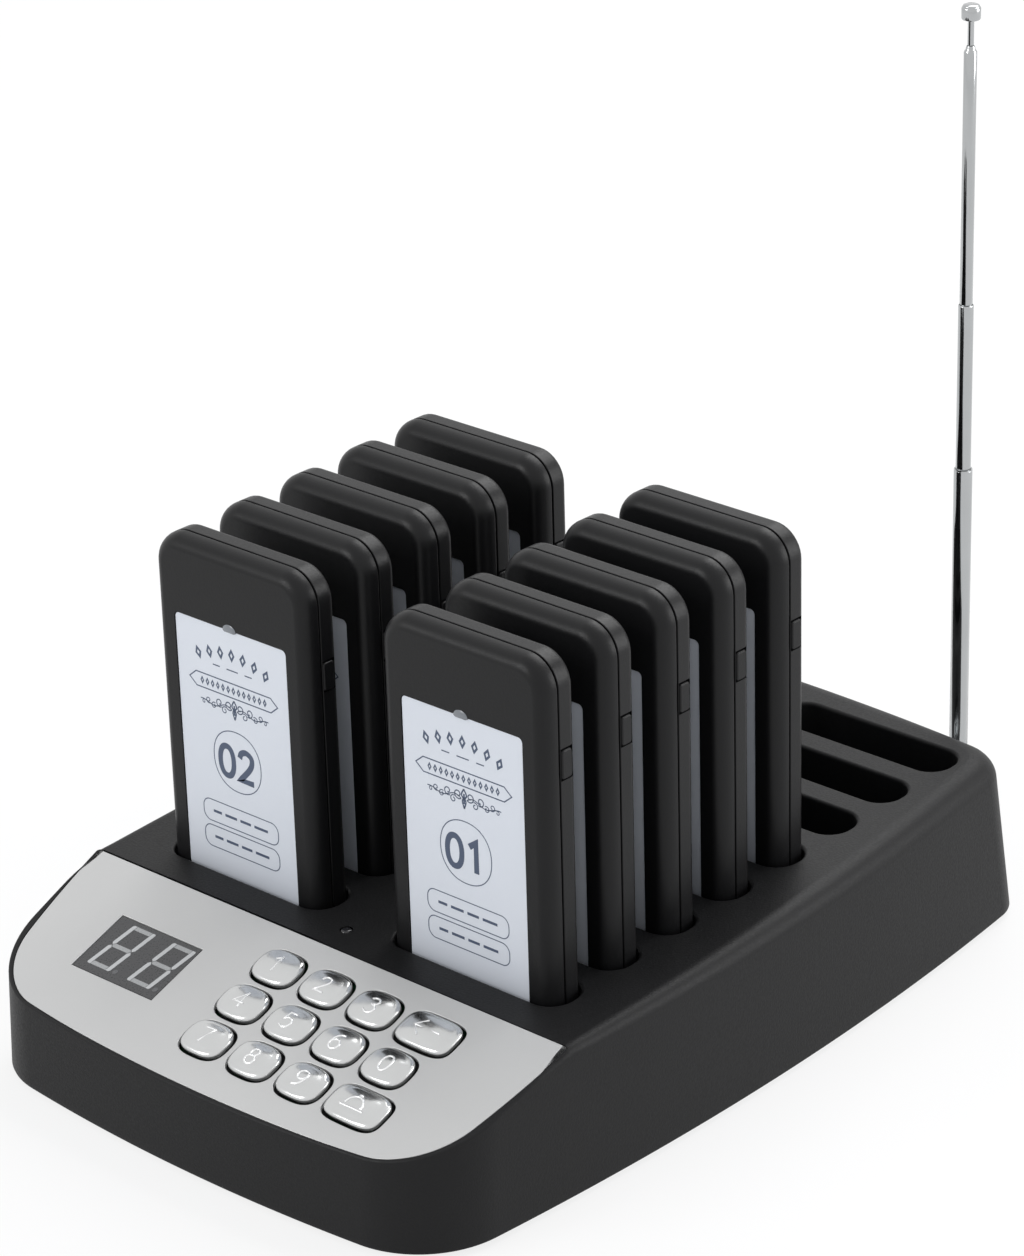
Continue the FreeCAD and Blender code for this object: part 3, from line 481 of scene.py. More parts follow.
def backWallPatch(rings, keep):
    # the part of the back wall with the inlet's and the switch's holes, filled in x and z
    rows = slice(backWall["lowRow"], backWall["highRow"] + 1)
    columns = np.where(keep)[0]
    window = rings[rows][:, columns]
    loop = np.concatenate([window[0], window[1:, -1], window[-1, ::-1][1:], window[1:-1, 0][::-1]])
    turn = np.linspace(0, 2 * np.pi, 48, endpoint=False)
    inlet = np.column_stack([inletHole["x"] + inletHole["radius"] * np.cos(turn),
                             inletHole["z"] + inletHole["radius"] * np.sin(turn)])
    switch = roundedLoop(switchHole["halfWidth"], switchHole["halfHeight"], 0.6, 5)
    switch = switch * np.array([1, math.cos(math.radians(base["backDraft"]))])
    switch = switch + np.array([switchHole["x"], switchHole["z"]])
    points, faces = flatFill(loop[:, [0, 2]], [inlet, switch])
    solid = np.column_stack([points[:, 0], backWallY(points[:, 0], points[:, 1]), points[:, 1]])
    inward = np.array([0, -math.cos(math.radians(base["backDraft"])),
                       -math.sin(math.radians(base["backDraft"]))])
    mouth = np.column_stack([switch[:, 0], backWallY(switch[:, 0], switch[:, 1]), switch[:, 1]])
    sleeve = loft(np.stack([mouth, mouth + inward * switchHole["depth"]]))
    edge = np.column_stack([inlet[:, 0], backWallY(inlet[:, 0], inlet[:, 1]), inlet[:, 1]])
    collar = loft(np.stack([edge, edge + np.array([0, -base["wall"], 0])]))
    return [(solid, faces), sleeve, collar]


def slotLoop(x, y, grow):
    loop = roundedLoop(slotSize["halfLength"] + grow, slotSize["halfWidth"] + grow,
                       slotSize["endRadius"] + grow, 12)
    return loop + np.array([x, y])


def slotWell(x, y):
    # mouth rounding, wall with a little draft, floor rounding and floor
    mouth, foot, draft = base["slotMouth"], base["slotFoot"], slotSize["draft"]
    floor = slotFloor(y)
    rings = []
    for inward, up in quarterArc(mouth, 6)[::-1]:
        loop = slotLoop(x, y, inward)
        rings.append(np.column_stack([loop, roofHeight(loop[:, 1]) - mouth + up]))
    wallTop = roofHeight(slotLoop(x, y, 0.0)[:, 1]) - mouth
    for share in (0.35, 0.7):
        loop = slotLoop(x, y, -draft * share)
        rings.append(np.column_stack([loop, wallTop + (floor + foot - wallTop) * share]))
    for inward, up in quarterArc(foot, 4):
        rings.append(atHeight(slotLoop(x, y, -draft - inward), floor + foot - up))
    return loft(np.stack(rings), capEnd=True)


def faceplateLoop(grow):
    # the silver sheet's outline, drawn flat: x across, y up the slope from the crease
    sheet = faceplate
    frontCentre = np.array([0, -sheet["front"] + sheet["frontRadius"]])
    sideCentre = np.array([sheet["halfWidth"] - sheet["sideRadius"], sheet["widest"]])
    corner = touchingCentre(frontCentre, sheet["frontRadius"], sideCentre, sheet["sideRadius"],
                            sheet["corner"], np.array([1, -1]))
    a = normalAngle(frontCentre, corner)
    b = normalAngle(sideCentre, corner)
    small = sheet["backCorner"]
    smallY = -sheet["backGap"] - small
    smallX = sideCentre[0] + math.sqrt(
        (sheet["sideRadius"] - small) ** 2 - (smallY - sideCentre[1]) ** 2)
    smallCentre = np.array([smallX, smallY])
    c = normalAngle(sideCentre, smallCentre)
    arcs = [(frontCentre, sheet["frontRadius"], -math.pi / 2, a, 20),
            (corner, sheet["corner"], a, b, 20),
            (sideCentre, sheet["sideRadius"], b, c, 10),
            (smallCentre, small, c, math.pi / 2, 6)]
    points = []
    for centre, radius, start, end, count in arcs:
        turn = np.linspace(start, end, count + 1)
        points.append(centre + (radius + grow) * np.column_stack([np.cos(turn), np.sin(turn)]))
    right = np.concatenate(points)
    keep = np.concatenate([[True], np.hypot(*np.diff(right, axis=0).T) > 1e-6])
    right = right[keep]
    left = right[::-1][:-1] * np.array([-1, 1])
    return np.concatenate([right, left])


def onPanel(points):
    # lay a flat drawing on the sloped keypad panel
    slope = math.radians(base["panelSlope"])
    x, y, z = np.asarray(points, float).T
    return np.column_stack([
        x, base["creaseY"] + y * math.cos(slope) - z * math.sin(slope),
        base["creaseZ"] + y * math.sin(slope) + z * math.cos(slope)])


faceplate = {
    "front": 51.0, "frontRadius": 616.0, "halfWidth": 78.6, "widest": 20.0,
    "sideRadius": 260.0, "corner": 23.4, "backCorner": 1.0, "backGap": 0.4,
    "thickness": 1.0, "gap": 0.15, "edge": 0.22,
}
keypad = {
    "firstX": -4.4, "firstY": -37.3, "pitchX": 15.65, "pitchY": 12.7,
    "width": 12.8, "wideWidth": 16.3, "depth": 10.1, "gap": 0.7, "power": 2.9, "widePower": 3.8,
    "rim": 0.3, "proud": 2.0, "below": -2.0, "domeRise": 0.75, "shoulder": 0.8,
    "markTall": 5.2, "markStroke": 0.6, "markThick": 0.46,
}
displaySize = {"left": -54.7, "width": 27.8, "bottom": -33.7, "height": 18.5}


def keySpots():
    # name, middle across, middle up the slope, half width
    rows = [["key_7", "key_8", "key_9", "key_call"], ["key_4", "key_5", "key_6", "key_0"],
            ["key_1", "key_2", "key_3", "key_delete"]]
    spots = []
    for row, names in enumerate(rows):
        for column, name in enumerate(names):
            wide = name in ("key_call", "key_delete")
            width = keypad["wideWidth"] if wide else keypad["width"]
            x = keypad["firstX"] + keypad["pitchX"] * column + (width - keypad["width"]) / 2
            spots.append((name, x, keypad["firstY"] + keypad["pitchY"] * row, width / 2))
    return spots


def rectangleLoop(x0, x1, y0, y1):
    return np.array([[x0, y0], [x1, y0], [x1, y1], [x0, y1]])


def panelFloor():
    # the shallow seat under the silver sheet, open over the keys and the display
    sunk = -faceplate["thickness"]
    seat = faceplateLoop(0.0)
    spots = keySpots()
    margin = 1.3
    x0 = min(x - half for _, x, _, half in spots) - margin
    x1 = max(x + half for _, x, _, half in spots) + margin
    y0 = min(y for _, _, y, _ in spots) - keypad["depth"] / 2 - margin
    y1 = max(y for _, _, y, _ in spots) + keypad["depth"] / 2 + margin
    d = displaySize
    holes = [rectangleLoop(x0, x1, y0, y1),
             rectangleLoop(d["left"], d["left"] + d["width"],
                           d["bottom"], d["bottom"] + d["height"])]
    points, faces = flatFill(seat, holes)
    parts = [(onPanel(atHeight(points, sunk)), faces),
             loft(np.stack([onPanel(atHeight(seat, 0.0)), onPanel(atHeight(seat, sunk))]))]
    for hole in holes:
        parts.append(loft(np.stack([
            onPanel(atHeight(hole, sunk)), onPanel(atHeight(hole, sunk - 1.8))])))
    return parts


def roofFill(strip):
    # the flat of the deck round the slots, and the rim of the panel round the silver sheet
    ringLength = len(strip)
    right = strip[:len(planAngles)]
    behind = np.concatenate([right[creaseSample:],
                             strip[len(planAngles):ringLength - creaseSample + 1]])
    before = np.concatenate([strip[ringLength - creaseSample:], right[:creaseSample + 1]])
    holes = [slotLoop(x, y, base["slotMouth"]) for x in slotXs for y in slotYs]
    turn = np.linspace(0, 2 * np.pi, 32, endpoint=False)
    holes.append(np.column_stack([1.6 * np.cos(turn), base["indicatorY"] + 1.6 * np.sin(turn)]))
    deck, deckFaces = flatFill(behind[:, :2], holes)
    seat = onPanel(atHeight(faceplateLoop(0.0), 0.0))
    rim, rimFaces = flatFill(before[:, :2], [seat[:, :2]])
    return [
        (np.column_stack([deck, roofHeight(deck[:, 1])]), deckFaces),
        (np.column_stack([rim, base["creaseZ"] + panelRise * (rim[:, 1] - base["creaseY"])]),
         rimFaces)]


def antennaPad():
    # the round boss on the back wall that the antenna's socket is clamped to
    face = backWallY(antenna["x"], antenna["z"] - 7.0) + 0.3
    profile = [(7.0, face - 8.0), (7.0, face - 0.4), (6.9, face - 0.15), (6.6, face), (4.1, face)]
    points, faces = lathe(profile, 56)
    return alongY(points, antenna["x"], antenna["z"]), faces


def alongY(points, x, z):
    # an upright lathe laid down to point backwards, its axis through x and z
    return np.column_stack([points[:, 0] + x, points[:, 2], points[:, 1] + z])


antenna = {"x": 41.3, "y": 119.3, "z": 23.5}


def makeHousing():
    rings = housingShell()
    rows, columns, _ = rings.shape
    x = rings[backWall["lowRow"], :, 0]
    y = rings[backWall["lowRow"], :, 1]
    inWindow = (x > backWall["firstX"]) & (x < backWall["lastX"]) & (
        y > backWall["fromY"])
    faces = gridFaces(rows, columns)
    row = faces[:, 0] // columns
    first = inWindow[faces[:, 0] % columns] & inWindow[faces[:, 1] % columns]
    cut = first & (row >= backWall["lowRow"]) & (row < backWall["highRow"])
    parts = [(rings.reshape(-1, 3), faces[~cut])]
    parts += backWallPatch(rings, inWindow)
    parts += roofFill(rings[-1])
    parts += panelFloor()
    parts += [slotWell(x, y) for x in slotXs for y in slotYs]
    parts.append(antennaPad())
    addPiece("baseHousing", joined(parts), mouldedAbs, "base",
             hides=("base_housing",), sharpAngle=50)


makeHousing()
print("housing made")


# The silver sheet, its keys and the display

def sheetWithHoles(outerAt, holesAt, thickness, edge):
    # a flat sheet whose outline and holes have a small rounded edge; outlines grow by a number
    arcs = quarterArc(edge, 3)
    outer = [atHeight(outerAt(0.0), -thickness)]
    outer += [atHeight(outerAt(-inward), -edge + up) for inward, up in arcs]
    parts = [loft(np.stack(outer))]
    for holeAt in holesAt:
        ring = [atHeight(holeAt(inward), -edge + up) for inward, up in arcs[::-1]]
        ring.append(atHeight(holeAt(0.0), -thickness))
        parts.append(loft(np.stack(ring)))
    points, faces = flatFill(outerAt(-edge), [holeAt(edge) for holeAt in holesAt])
    parts.append((atHeight(points, 0.0), faces))
    points, faces = flatFill(outerAt(0.0), [holeAt(0.0) for holeAt in holesAt])
    parts.append((atHeight(points, -thickness), faces))
    return joined(parts)


def keyPower(halfWidth):
    return keypad["widePower" if halfWidth * 2 > keypad["width"] else "power"]


def keyHole(x, y, halfWidth):
    def loop(grow):
        reach = keypad["gap"] + grow
        outline = pillowLoop(halfWidth + reach, keypad["depth"] / 2 + reach, keyPower(halfWidth))
        return outline + np.array([x, y])
    return loop


def displayHole(grow):
    d = displaySize
    return rectangleLoop(d["left"] - grow, d["left"] + d["width"] + grow,
                         d["bottom"] - grow, d["bottom"] + d["height"] + grow)


def makeFaceplate():
    holes = [keyHole(x, y, half) for _, x, y, half in keySpots()] + [displayHole]
    points, faces = sheetWithHoles(lambda grow: faceplateLoop(grow - faceplate["gap"]), holes,
                                   faceplate["thickness"], faceplate["edge"])
    addPiece("silverFaceplate", (onPanel(points), faces), silverLacquer, "base",
             hides=("faceplate",), sharpAngle=60)


def keyCrown(share):
    # height of a key's top at a share of the way from its middle to its rim: a shallow dome
    # that rolls over the shoulder in a quarter ellipse
    shoulder = keypad["shoulder"]
    dome = keypad["proud"] - keypad["domeRise"] * np.minimum(share / shoulder, 1) ** 2
    roll = np.clip((share - shoulder) / (1 - shoulder), 0, 1)
    drop = keypad["proud"] - keypad["domeRise"] - keypad["rim"]
    return dome - drop * (1 - np.sqrt(1 - roll ** 2))


def keyShape(x, y, halfWidth):
    # a straight skirt below squared-ellipse rings that follow the crown
    half, power = keypad["depth"] / 2, keyPower(halfWidth)
    rim = pillowLoop(halfWidth, half, power, 96)
    rings = [atHeight(rim, keypad["below"])]
    turn = np.linspace(0, np.pi / 2, 10)
    shares = list(1 - (1 - keypad["shoulder"]) * (1 - np.cos(turn)))
    shares += list(keypad["shoulder"] * np.linspace(1, 0, 9)[1:-1])
    for share in shares:
        loop = pillowLoop(halfWidth * share, half * share, power - 0.5 * (1 - share), 96)
        rings.append(atHeight(loop, float(keyCrown(np.array(share)))))
    points, faces = loft(np.stack(rings), capStart=True, capEnd=True)
    return points + np.array([x, y, 0]), faces


def makeKeys():
    for name, x, y, half in keySpots():
        points, faces = keyShape(x, y, half)
        addPiece("keycap." + name[4:], (onPanel(points), faces), platedKey, name + "_cap",
                 hides=(name,), sharpAngle=70, flatten=False)


def smoothed(points, steps=7):
    # a curve through every point, whose slope there is set by the point's two neighbours
    p = np.asarray(points, float)
    p = np.vstack([2 * p[0] - p[1], p, 2 * p[-1] - p[-2]])
    a, b, c, d = p[:-3], p[1:-2], p[2:-1], p[3:]
    t = np.linspace(0, 1, steps, endpoint=False)[:, None, None]
    curve = b + (c - a) * t / 2 + (2 * a - 5 * b + 4 * c - d) * t ** 2 / 2 + (
        3 * b - a - 3 * c + d) * t ** 3 / 2
    return np.vstack([curve.transpose(1, 0, 2).reshape(-1, 2), p[-2]])


def oval(x, y, halfWidth, halfHeight, count=44):
    return pillowLoop(halfWidth, halfHeight, 2.2, count) + np.array([x, y])


hookOfSix = [(0.2, 0.43), (-0.02, 0.37), (-0.2, 0.16), (-0.27, -0.14), (-0.19, -0.37),
             (0.01, -0.44), (0.22, -0.34), (0.27, -0.14), (0.14, 0.04), (-0.06, 0.06),
             (-0.25, -0.07)]
figures = {  # middle lines of the strokes, one unit tall; True marks a closed stroke
    "0": [(oval(0, 0, 0.27, 0.44), True)],
    "1": [([(-0.22, 0.27), (0.03, 0.44), (0.03, -0.44)], False)],
    "2": [(np.vstack([smoothed([(-0.25, 0.22), (-0.18, 0.37), (0.01, 0.44), (0.21, 0.35),
                                (0.24, 0.17), (0.11, -0.06), (-0.26, -0.43)]),
                      [(0.28, -0.43)]]), False)],
    "3": [(smoothed([(-0.24, 0.33), (-0.09, 0.43), (0.11, 0.42), (0.23, 0.27), (0.17, 0.1),
                     (-0.04, 0.03)]), False),
          (smoothed([(-0.04, 0.03), (0.18, -0.03), (0.27, -0.2), (0.17, -0.38),
                     (-0.05, -0.44), (-0.27, -0.35)]), False)],
    "4": [([(0.12, -0.44), (0.12, 0.43), (-0.28, -0.17), (0.3, -0.17)], False)],
    "5": [(np.vstack([[(0.23, 0.43), (-0.19, 0.43)], smoothed([
        (-0.22, 0.02), (0.02, 0.11), (0.22, 0.02), (0.27, -0.18), (0.15, -0.38),
        (-0.06, -0.44), (-0.26, -0.37)])]), False)],
    "6": [(smoothed(hookOfSix), False)],
    "7": [([(-0.27, 0.43), (0.27, 0.43), (-0.08, -0.44)], False)],
    "8": [(oval(0, 0.22, 0.2, 0.215), True), (oval(0, -0.21, 0.25, 0.23), True)],
    "9": [(smoothed(-np.array(hookOfSix)), False)],
}
flatSection = [(-1, -0.5), (-1, 0.5), (1, 0.5), (1, -0.5)]  # across and up
roundSection = [(-1, -0.5), (-0.8, 0.2), (-0.4, 0.5), (0.4, 0.5), (0.8, 0.2), (1, -0.5)]


def figureShape(text, tall, stroke, thick, section, spread=1.0):
    # figures side by side, centred on 0, each one drawn by a stroke along its middle lines
    pitch = 0.74 * tall * spread
    shapes = []
    for place, figure in enumerate(text):
        x = (place - (len(text) - 1) / 2) * pitch
        for path, closed in figures[figure]:
            size = (tall - stroke) / 0.88
            line = np.asarray(path, float) * np.array([size * spread, size]) + np.array([x, 0])
            shapes.append(strokeShape(line, stroke, thick, closed, section))
    return joined(shapes)


def strokeShape(path, width, thick, closed=False, section=flatSection):
    # a stroke along a path of points: every point gets the same section, square to the path
    path = np.asarray(path, float)
    ahead = np.roll(path, -1, axis=0) - path
    behind = path - np.roll(path, 1, axis=0)
    if not closed:
        ahead[-1] = behind[-1]
        behind[0] = ahead[0]
    ahead = ahead / np.hypot(*ahead.T)[:, None]
    behind = behind / np.hypot(*behind.T)[:, None]
    middle = ahead + behind
    middle = middle / np.hypot(*middle.T)[:, None]
    square = np.column_stack([-middle[:, 1], middle[:, 0]])
    reach = square * width / 2 / np.clip((middle * ahead).sum(1), 0.5, 1)[:, None]
    section = np.array(section)
    flat = path[:, None, :] + reach[:, None, :] * section[None, :, :1]
    height = np.broadcast_to(section[None, :, 1:] * thick, flat.shape[:2] + (1,))
    rings = np.concatenate([flat, height], axis=2)
    if closed:
        return loft(np.concatenate([rings, rings[:1]]))
    return loft(rings, capStart=True, capEnd=True)


def keyMark(name):
    # raised figures; the two wide keys have a plain arrow and a plain bell instead of words
    thick, stroke = keypad["markThick"], keypad["markStroke"]
    if name == "key_delete":
        strokes = [([[3.9, 0], [-3.9, 0]], False), ([[-1.3, 2.4], [-4.0, 0], [-1.3, -2.4]], False)]
    elif name == "key_call":
        turn = np.linspace(0, np.pi, 25)
        dome = np.column_stack([2.5 * np.cos(turn), 2.7 * np.sin(turn) - 1.1])
        strokes = [(dome, False), ([[-3.5, -1.7], [3.5, -1.7]], False),
                   (oval(0, 2.1, 0.3, 0.3, 16), True)]
    else:
        return figureShape(name[4:], keypad["markTall"], stroke, thick, roundSection)
    return joined([strokeShape(path, stroke, thick, closed, roundSection)
                   for path, closed in strokes])


def makeKeyMarks():
    for name, x, y, half in keySpots():
        points, faces = keyMark(name)
        power, deep = keyPower(half) - 0.4, keypad["depth"] / 2
        share = (np.abs(points[:, 0] / half) ** power
                 + np.abs(points[:, 1] / deep) ** power) ** (1 / power)
        points[:, 2] += keyCrown(share)
        # the figures take the pale material, a painted highlight along their raised strokes
        addPiece("keyMark." + name[4:], (onPanel(points + np.array([x, y, 0])), faces),
                 paleHighlightFigure, name + "_cap", sharpAngle=80, flatten=False)


segments = {"height": 14.6, "width": 7.8, "bar": 1.2, "slant": 9.5, "apart": 13.8,
            "right": 1.05, "up": 0.5, "gap": 0.14}


def displayFigure():
    # seven light bars: long uprights that meet in points at the middle, flat bars between them
    s = segments
    side, bar, gap, tall = s["width"] / 2, s["bar"], s["gap"], s["height"] / 2
    inner = side - bar
    upright = np.array([[side - bar / 2, gap], [side, gap + bar / 2], [side, tall - 0.4],
                        [side - 0.3, tall], [inner, tall], [inner, gap + bar / 2]])
    level = np.array([[-inner + gap, tall - bar], [inner - gap, tall - bar],
                      [inner - gap, tall], [-inner + gap, tall]])
    middle = np.array([[-side + bar / 2 + gap, 0], [-inner + gap, -bar / 2],
                       [inner - gap, -bar / 2], [side - bar / 2 - gap, 0],
                       [inner - gap, bar / 2], [-inner + gap, bar / 2]])
    flips = [np.array(flip) for flip in ((1, 1), (-1, 1), (1, -1), (-1, -1))]
    return [upright * flip for flip in flips], [level, level * flips[2], middle]


def displayBars(kind):
    # the bars or the point of both figures, leaning to the right
    s = segments
    lean = math.tan(math.radians(s["slant"]))
    uprights, levels = displayFigure()
    point = oval(s["width"] / 2 + 1.5, -s["height"] / 2 + 0.6, 0.7, 0.7, 20)
    loops = {"uprights": uprights, "levels": levels, "points": [point]}[kind]
    shapes = []
    for side in (-0.5, 0.5):
        for loop in loops:
            leaning = loop + np.column_stack([loop[:, 1] * lean, np.zeros(len(loop))])
            leaning = leaning + np.array([side * s["apart"] + s["right"], s["up"]])
            shapes.append(loft(np.stack([atHeight(leaning, -0.2), atHeight(leaning, 0.0)]),
                               capEnd=True))
    return joined(shapes)


def makeDisplay():
    d = displaySize
    middle = np.array([d["left"] + d["width"] / 2, d["bottom"] + d["height"] / 2, 0.0])
    halfWidth, halfHeight = d["width"] / 2 - 0.15, d["height"] / 2 - 0.15

    def outline(grow):
        return roundedLoop(halfWidth + grow, halfHeight + grow, 0.3 + grow * 0.5, 4)

    rings = [atHeight(outline(0.0), -5.4), atHeight(outline(0.0), -0.35),
             atHeight(outline(-0.1), -0.2), atHeight(outline(-0.2), -0.15)]
    points, faces = loft(np.stack(rings), capStart=True, capEnd=True)
    addPiece("displayModule", (onPanel(points + middle), faces), epoxyFace, "base",
             hides=("display_module",))
    for kind, material in (("uprights", brightBar), ("levels", milkyBar), ("points", hazyPoint)):
        points, faces = displayBars(kind)
        points = points + middle + np.array([0, 0, -0.1])
        addPiece("displayLight." + kind, (onPanel(points), faces), material, "base",
                 sharpAngle=30, flatten=False)


def makeIndicator():
    top = float(roofHeight(np.array(base["indicatorY"])))
    profile = [(0.001, top + 0.3), (0.5, top + 0.27), (0.9, top + 0.18), (1.25, top),
               (1.45, top - 0.25), (1.5, top - 0.5), (1.5, top - 3.0)]
    points, faces = lathe(profile, 40)
    points = points + np.array([0, base["indicatorY"], 0])
    addPiece("indicatorLens", (points, faces), smokedLens, "base", hides=("indicator_lens",))


makeFaceplate()
makeKeys()
makeKeyMarks()
makeDisplay()
makeIndicator()
print("panel made")


# The pagers

pager = {
    "width": 51.0, "height": 105.0, "thickness": 10.5, "corner": 8.0, "lean": 0.6,
    "floorGap": 0.3, "seamAt": 4.75, "seam": 0.5, "pillow": 3.5, "backRounding": 1.9,
    "cardWidth": 37.4, "cardHeight": 79.0, "cardTop": 19.7, "cardCorner": 1.3,
    "cardSink": 0.25, "buttonTop": 26.3, "buttonHeight": 7.2, "buttonFront": 5.4,
    "buttonDepth": 3.4, "buttonProud": 0.45, "buttonGap": 0.4, "inkThick": 0.03,
}


def pagerPlace(number):
    # left column holds the even ones and right column the odd ones, from the front row back
    row = (number - 1) // 2
    y = slotYs[row]
    x = slotXs[number % 2] - pager["lean"]
    return x, y - pager["thickness"] / 2, float(slotFloor(np.array(y))) + pager["floorGap"]


def standing(points, place):
    # a flat drawing (x across, y up, z out of the face) stood up in its slot
    x, y, z = np.asarray(points, float).T
    return np.column_stack([place[0] + x, place[1] - z, place[2] + y])


def pagerLoop(inset):
    # the pager's outline; its right side has extra points at the button's ends
    half, tall = pager["width"] / 2, pager["height"] / 2
    loop = roundedLoop(half - inset, tall - inset, pager["corner"] - inset, 10)
    middle = tall - pager["buttonTop"]
    reach = pager["buttonHeight"] / 2 + pager["buttonGap"]
    side = half - inset
    extra = np.array([[side, middle - reach], [side, middle + reach]])
    loop = np.concatenate([extra, loop])
    return loop + np.array([0, tall])


def frontShell():
    # seam, side, then a quarter ellipse over to the flat face with the card's recess
    pillow, seam = pager["pillow"], pager["seamAt"]
    profile = [(0.5, seam), (0.12, seam), (0.03, seam - 0.08), (0.0, seam - 0.22)]
    turn = np.linspace(0, np.pi / 2, 13)
    reachBack = seam - 0.25
    profile += [(pillow * (1 - math.cos(t)), reachBack * (1 - math.sin(t))) for t in turn]
    rings = [atHeight(pagerLoop(inset), -depth) for inset, depth in profile]
    parts = [loft(np.stack(rings))]
    half = pager["cardWidth"] / 2 + 0.12
    tall = pager["cardHeight"] / 2 + 0.12
    middle = pager["height"] - pager["cardTop"] - pager["cardHeight"] / 2
    recess = roundedLoop(half, tall, pager["cardCorner"], 8) + np.array([0, middle])
    points, faces = flatFill(pagerLoop(pillow), [recess])
    parts.append((atHeight(points, 0.0), faces))
    parts.append(loft(np.stack([atHeight(recess, 0.0), atHeight(recess, -0.6)]), capEnd=True))
    return joined(parts)


def backShell():
    # seam side, straight side with the button's pocket, and a rounded edge to the flat back
    seam, thick, soft = pager["seamAt"], pager["thickness"], pager["backRounding"]
    profile = [(0.6, seam + 0.1), (0.6, seam + pager["seam"]), (0.12, seam + pager["seam"]),
               (0.0, seam + pager["seam"] + 0.12)]
    profile += [(inward, thick - soft + up) for inward, up in quarterArc(soft, 7)]
    rings = np.stack([atHeight(pagerLoop(inset), -depth) for inset, depth in profile])
    rows, columns, _ = rings.shape
    faces = gridFaces(rows, columns)
    firstRow, lastRow = 3, 6
    row = faces[:, 0] // columns
    inPocket = (faces[:, 0] % columns == 0) & (row >= firstRow) & (row < lastRow)
    pocket = rings[firstRow:lastRow + 1]
    edge = np.concatenate([pocket[:, 0], pocket[:, 1][::-1]])
    floor = edge.copy()
    floor[:, 0] = pager["width"] / 2 - 1.7
    parts = [(rings.reshape(-1, 3), faces[~inPocket]),
             (rings[-1], [list(range(columns))]),
             loft(np.stack([edge, floor]), capEnd=True)]
    return joined(parts)


def cardShape():
    half, tall = pager["cardWidth"] / 2, pager["cardHeight"] / 2
    middle = pager["height"] - pager["cardTop"] - tall
    rings = []
    for inset, depth in ((0.0, 0.58), (0.0, pager["cardSink"] + 0.05),
                         (0.05, pager["cardSink"])):
        loop = roundedLoop(half - inset, tall - inset, pager["cardCorner"] - inset, 8)
        rings.append(atHeight(loop + np.array([0, middle]), -depth))
    return loft(np.stack(rings), capStart=True, capEnd=True)


def tabShape():
    # half-round tab at the middle of the card's upper edge, domed
    top = pager["height"] - pager["cardTop"]
    turn = np.linspace(0, np.pi, 25)
    rings = []
    for share, height in ((1.0, -0.25), (1.0, 0.05), (0.9, 0.2), (0.6, 0.32), (0.25, 0.38)):
        arc = np.column_stack([2.2 * share * np.cos(turn), 1.7 * share * np.sin(turn)])
        foot = np.column_stack([np.linspace(-2.2, 2.2, 9)[1:-1] * share, np.full(7, -0.3 * share)])
        rings.append(atHeight(np.concatenate([arc, foot]) + np.array([0, top - 0.1]), height))
    return loft(np.stack(rings), capEnd=True)


def buttonShape():
    # a soft-edged slab that stands proud of the pager's right side
    halfDepth = pager["buttonDepth"] / 2
    halfHeight = pager["buttonHeight"] / 2
    face = pager["width"] / 2 + pager["buttonProud"]
    middleDepth = pager["buttonFront"] + halfDepth
    middleUp = pager["height"] - pager["buttonTop"]
    rings = []
    for inset, out in ((0.0, -1.6), (0.0, -0.45), (0.06, -0.22), (0.2, -0.06), (0.45, 0.0)):
        loop = roundedLoop(halfDepth - inset, halfHeight - inset, 0.7 - inset * 0.6, 5)
        rings.append(np.column_stack([np.full(len(loop), face + out), loop[:, 1] + middleUp,
                                      loop[:, 0] - middleDepth]))
    return loft(np.stack(rings), capStart=True, capEnd=True)


def spiral(centre, radius, start, turns, tighten, count=26):
    turn = np.linspace(0, 1, count)
    angle = start + turns * 2 * np.pi * turn
    reach = radius * (1 - tighten * turn)
    return np.column_stack([centre[0] + reach * np.cos(angle), centre[1] + reach * np.sin(angle)])


def scrollwork():
    # a plain mirrored flourish: a stem that waves outwards, with curls of falling size on both
    # sides of it, and a drop in the middle
    strokes = []
    curls = [(1.9, 0.9, 1.3, -2.4, 1.2, 0.3), (3.4, -0.8, 1.0, 2.0, -1.1, 0.26),
             (5.1, 0.8, 1.2, -2.2, 1.15, 0.28), (7.0, -0.5, 0.9, 2.2, -1.1, 0.24),
             (8.8, 0.5, 0.9, -2.2, 1.1, 0.24), (10.4, -0.35, 0.6, 2.2, -1.0, 0.22)]
    along = np.linspace(0, 1, 40)
    wave = np.column_stack([0.9 + 10.6 * along,
                            0.8 * np.sin(along * 2.6 * np.pi) * (1 - 0.6 * along)])
    for side in (-1, 1):
        flip = np.array([side, 1])
        strokes.append((wave * flip, 0.26, False))
        for x, y, radius, start, turns, width in curls:
            strokes.append((spiral((x, y), radius, start, turns, 0.7) * flip, width, False))
    drop = np.array([(0, 2.6), (0.8, 1.1), (0.3, 0.2), (0.55, -0.7), (0, -2.4)])
    for side in (1, -1):
        strokes.append((smoothed(drop * np.array([side, 1])), 0.4, False))
    strokes.append((np.array([(0, 1.4), (0, -1.2)]), 0.5, False))
    return strokes


def diamond(x, y, halfWidth, halfHeight, lean=0.0):
    spin = np.array([[math.cos(lean), math.sin(lean)], [-math.sin(lean), math.cos(lean)]])
    corners = np.array([[-halfWidth, 0], [0, halfHeight], [halfWidth, 0], [0, -halfHeight]])
    return corners @ spin + np.array([x, y])


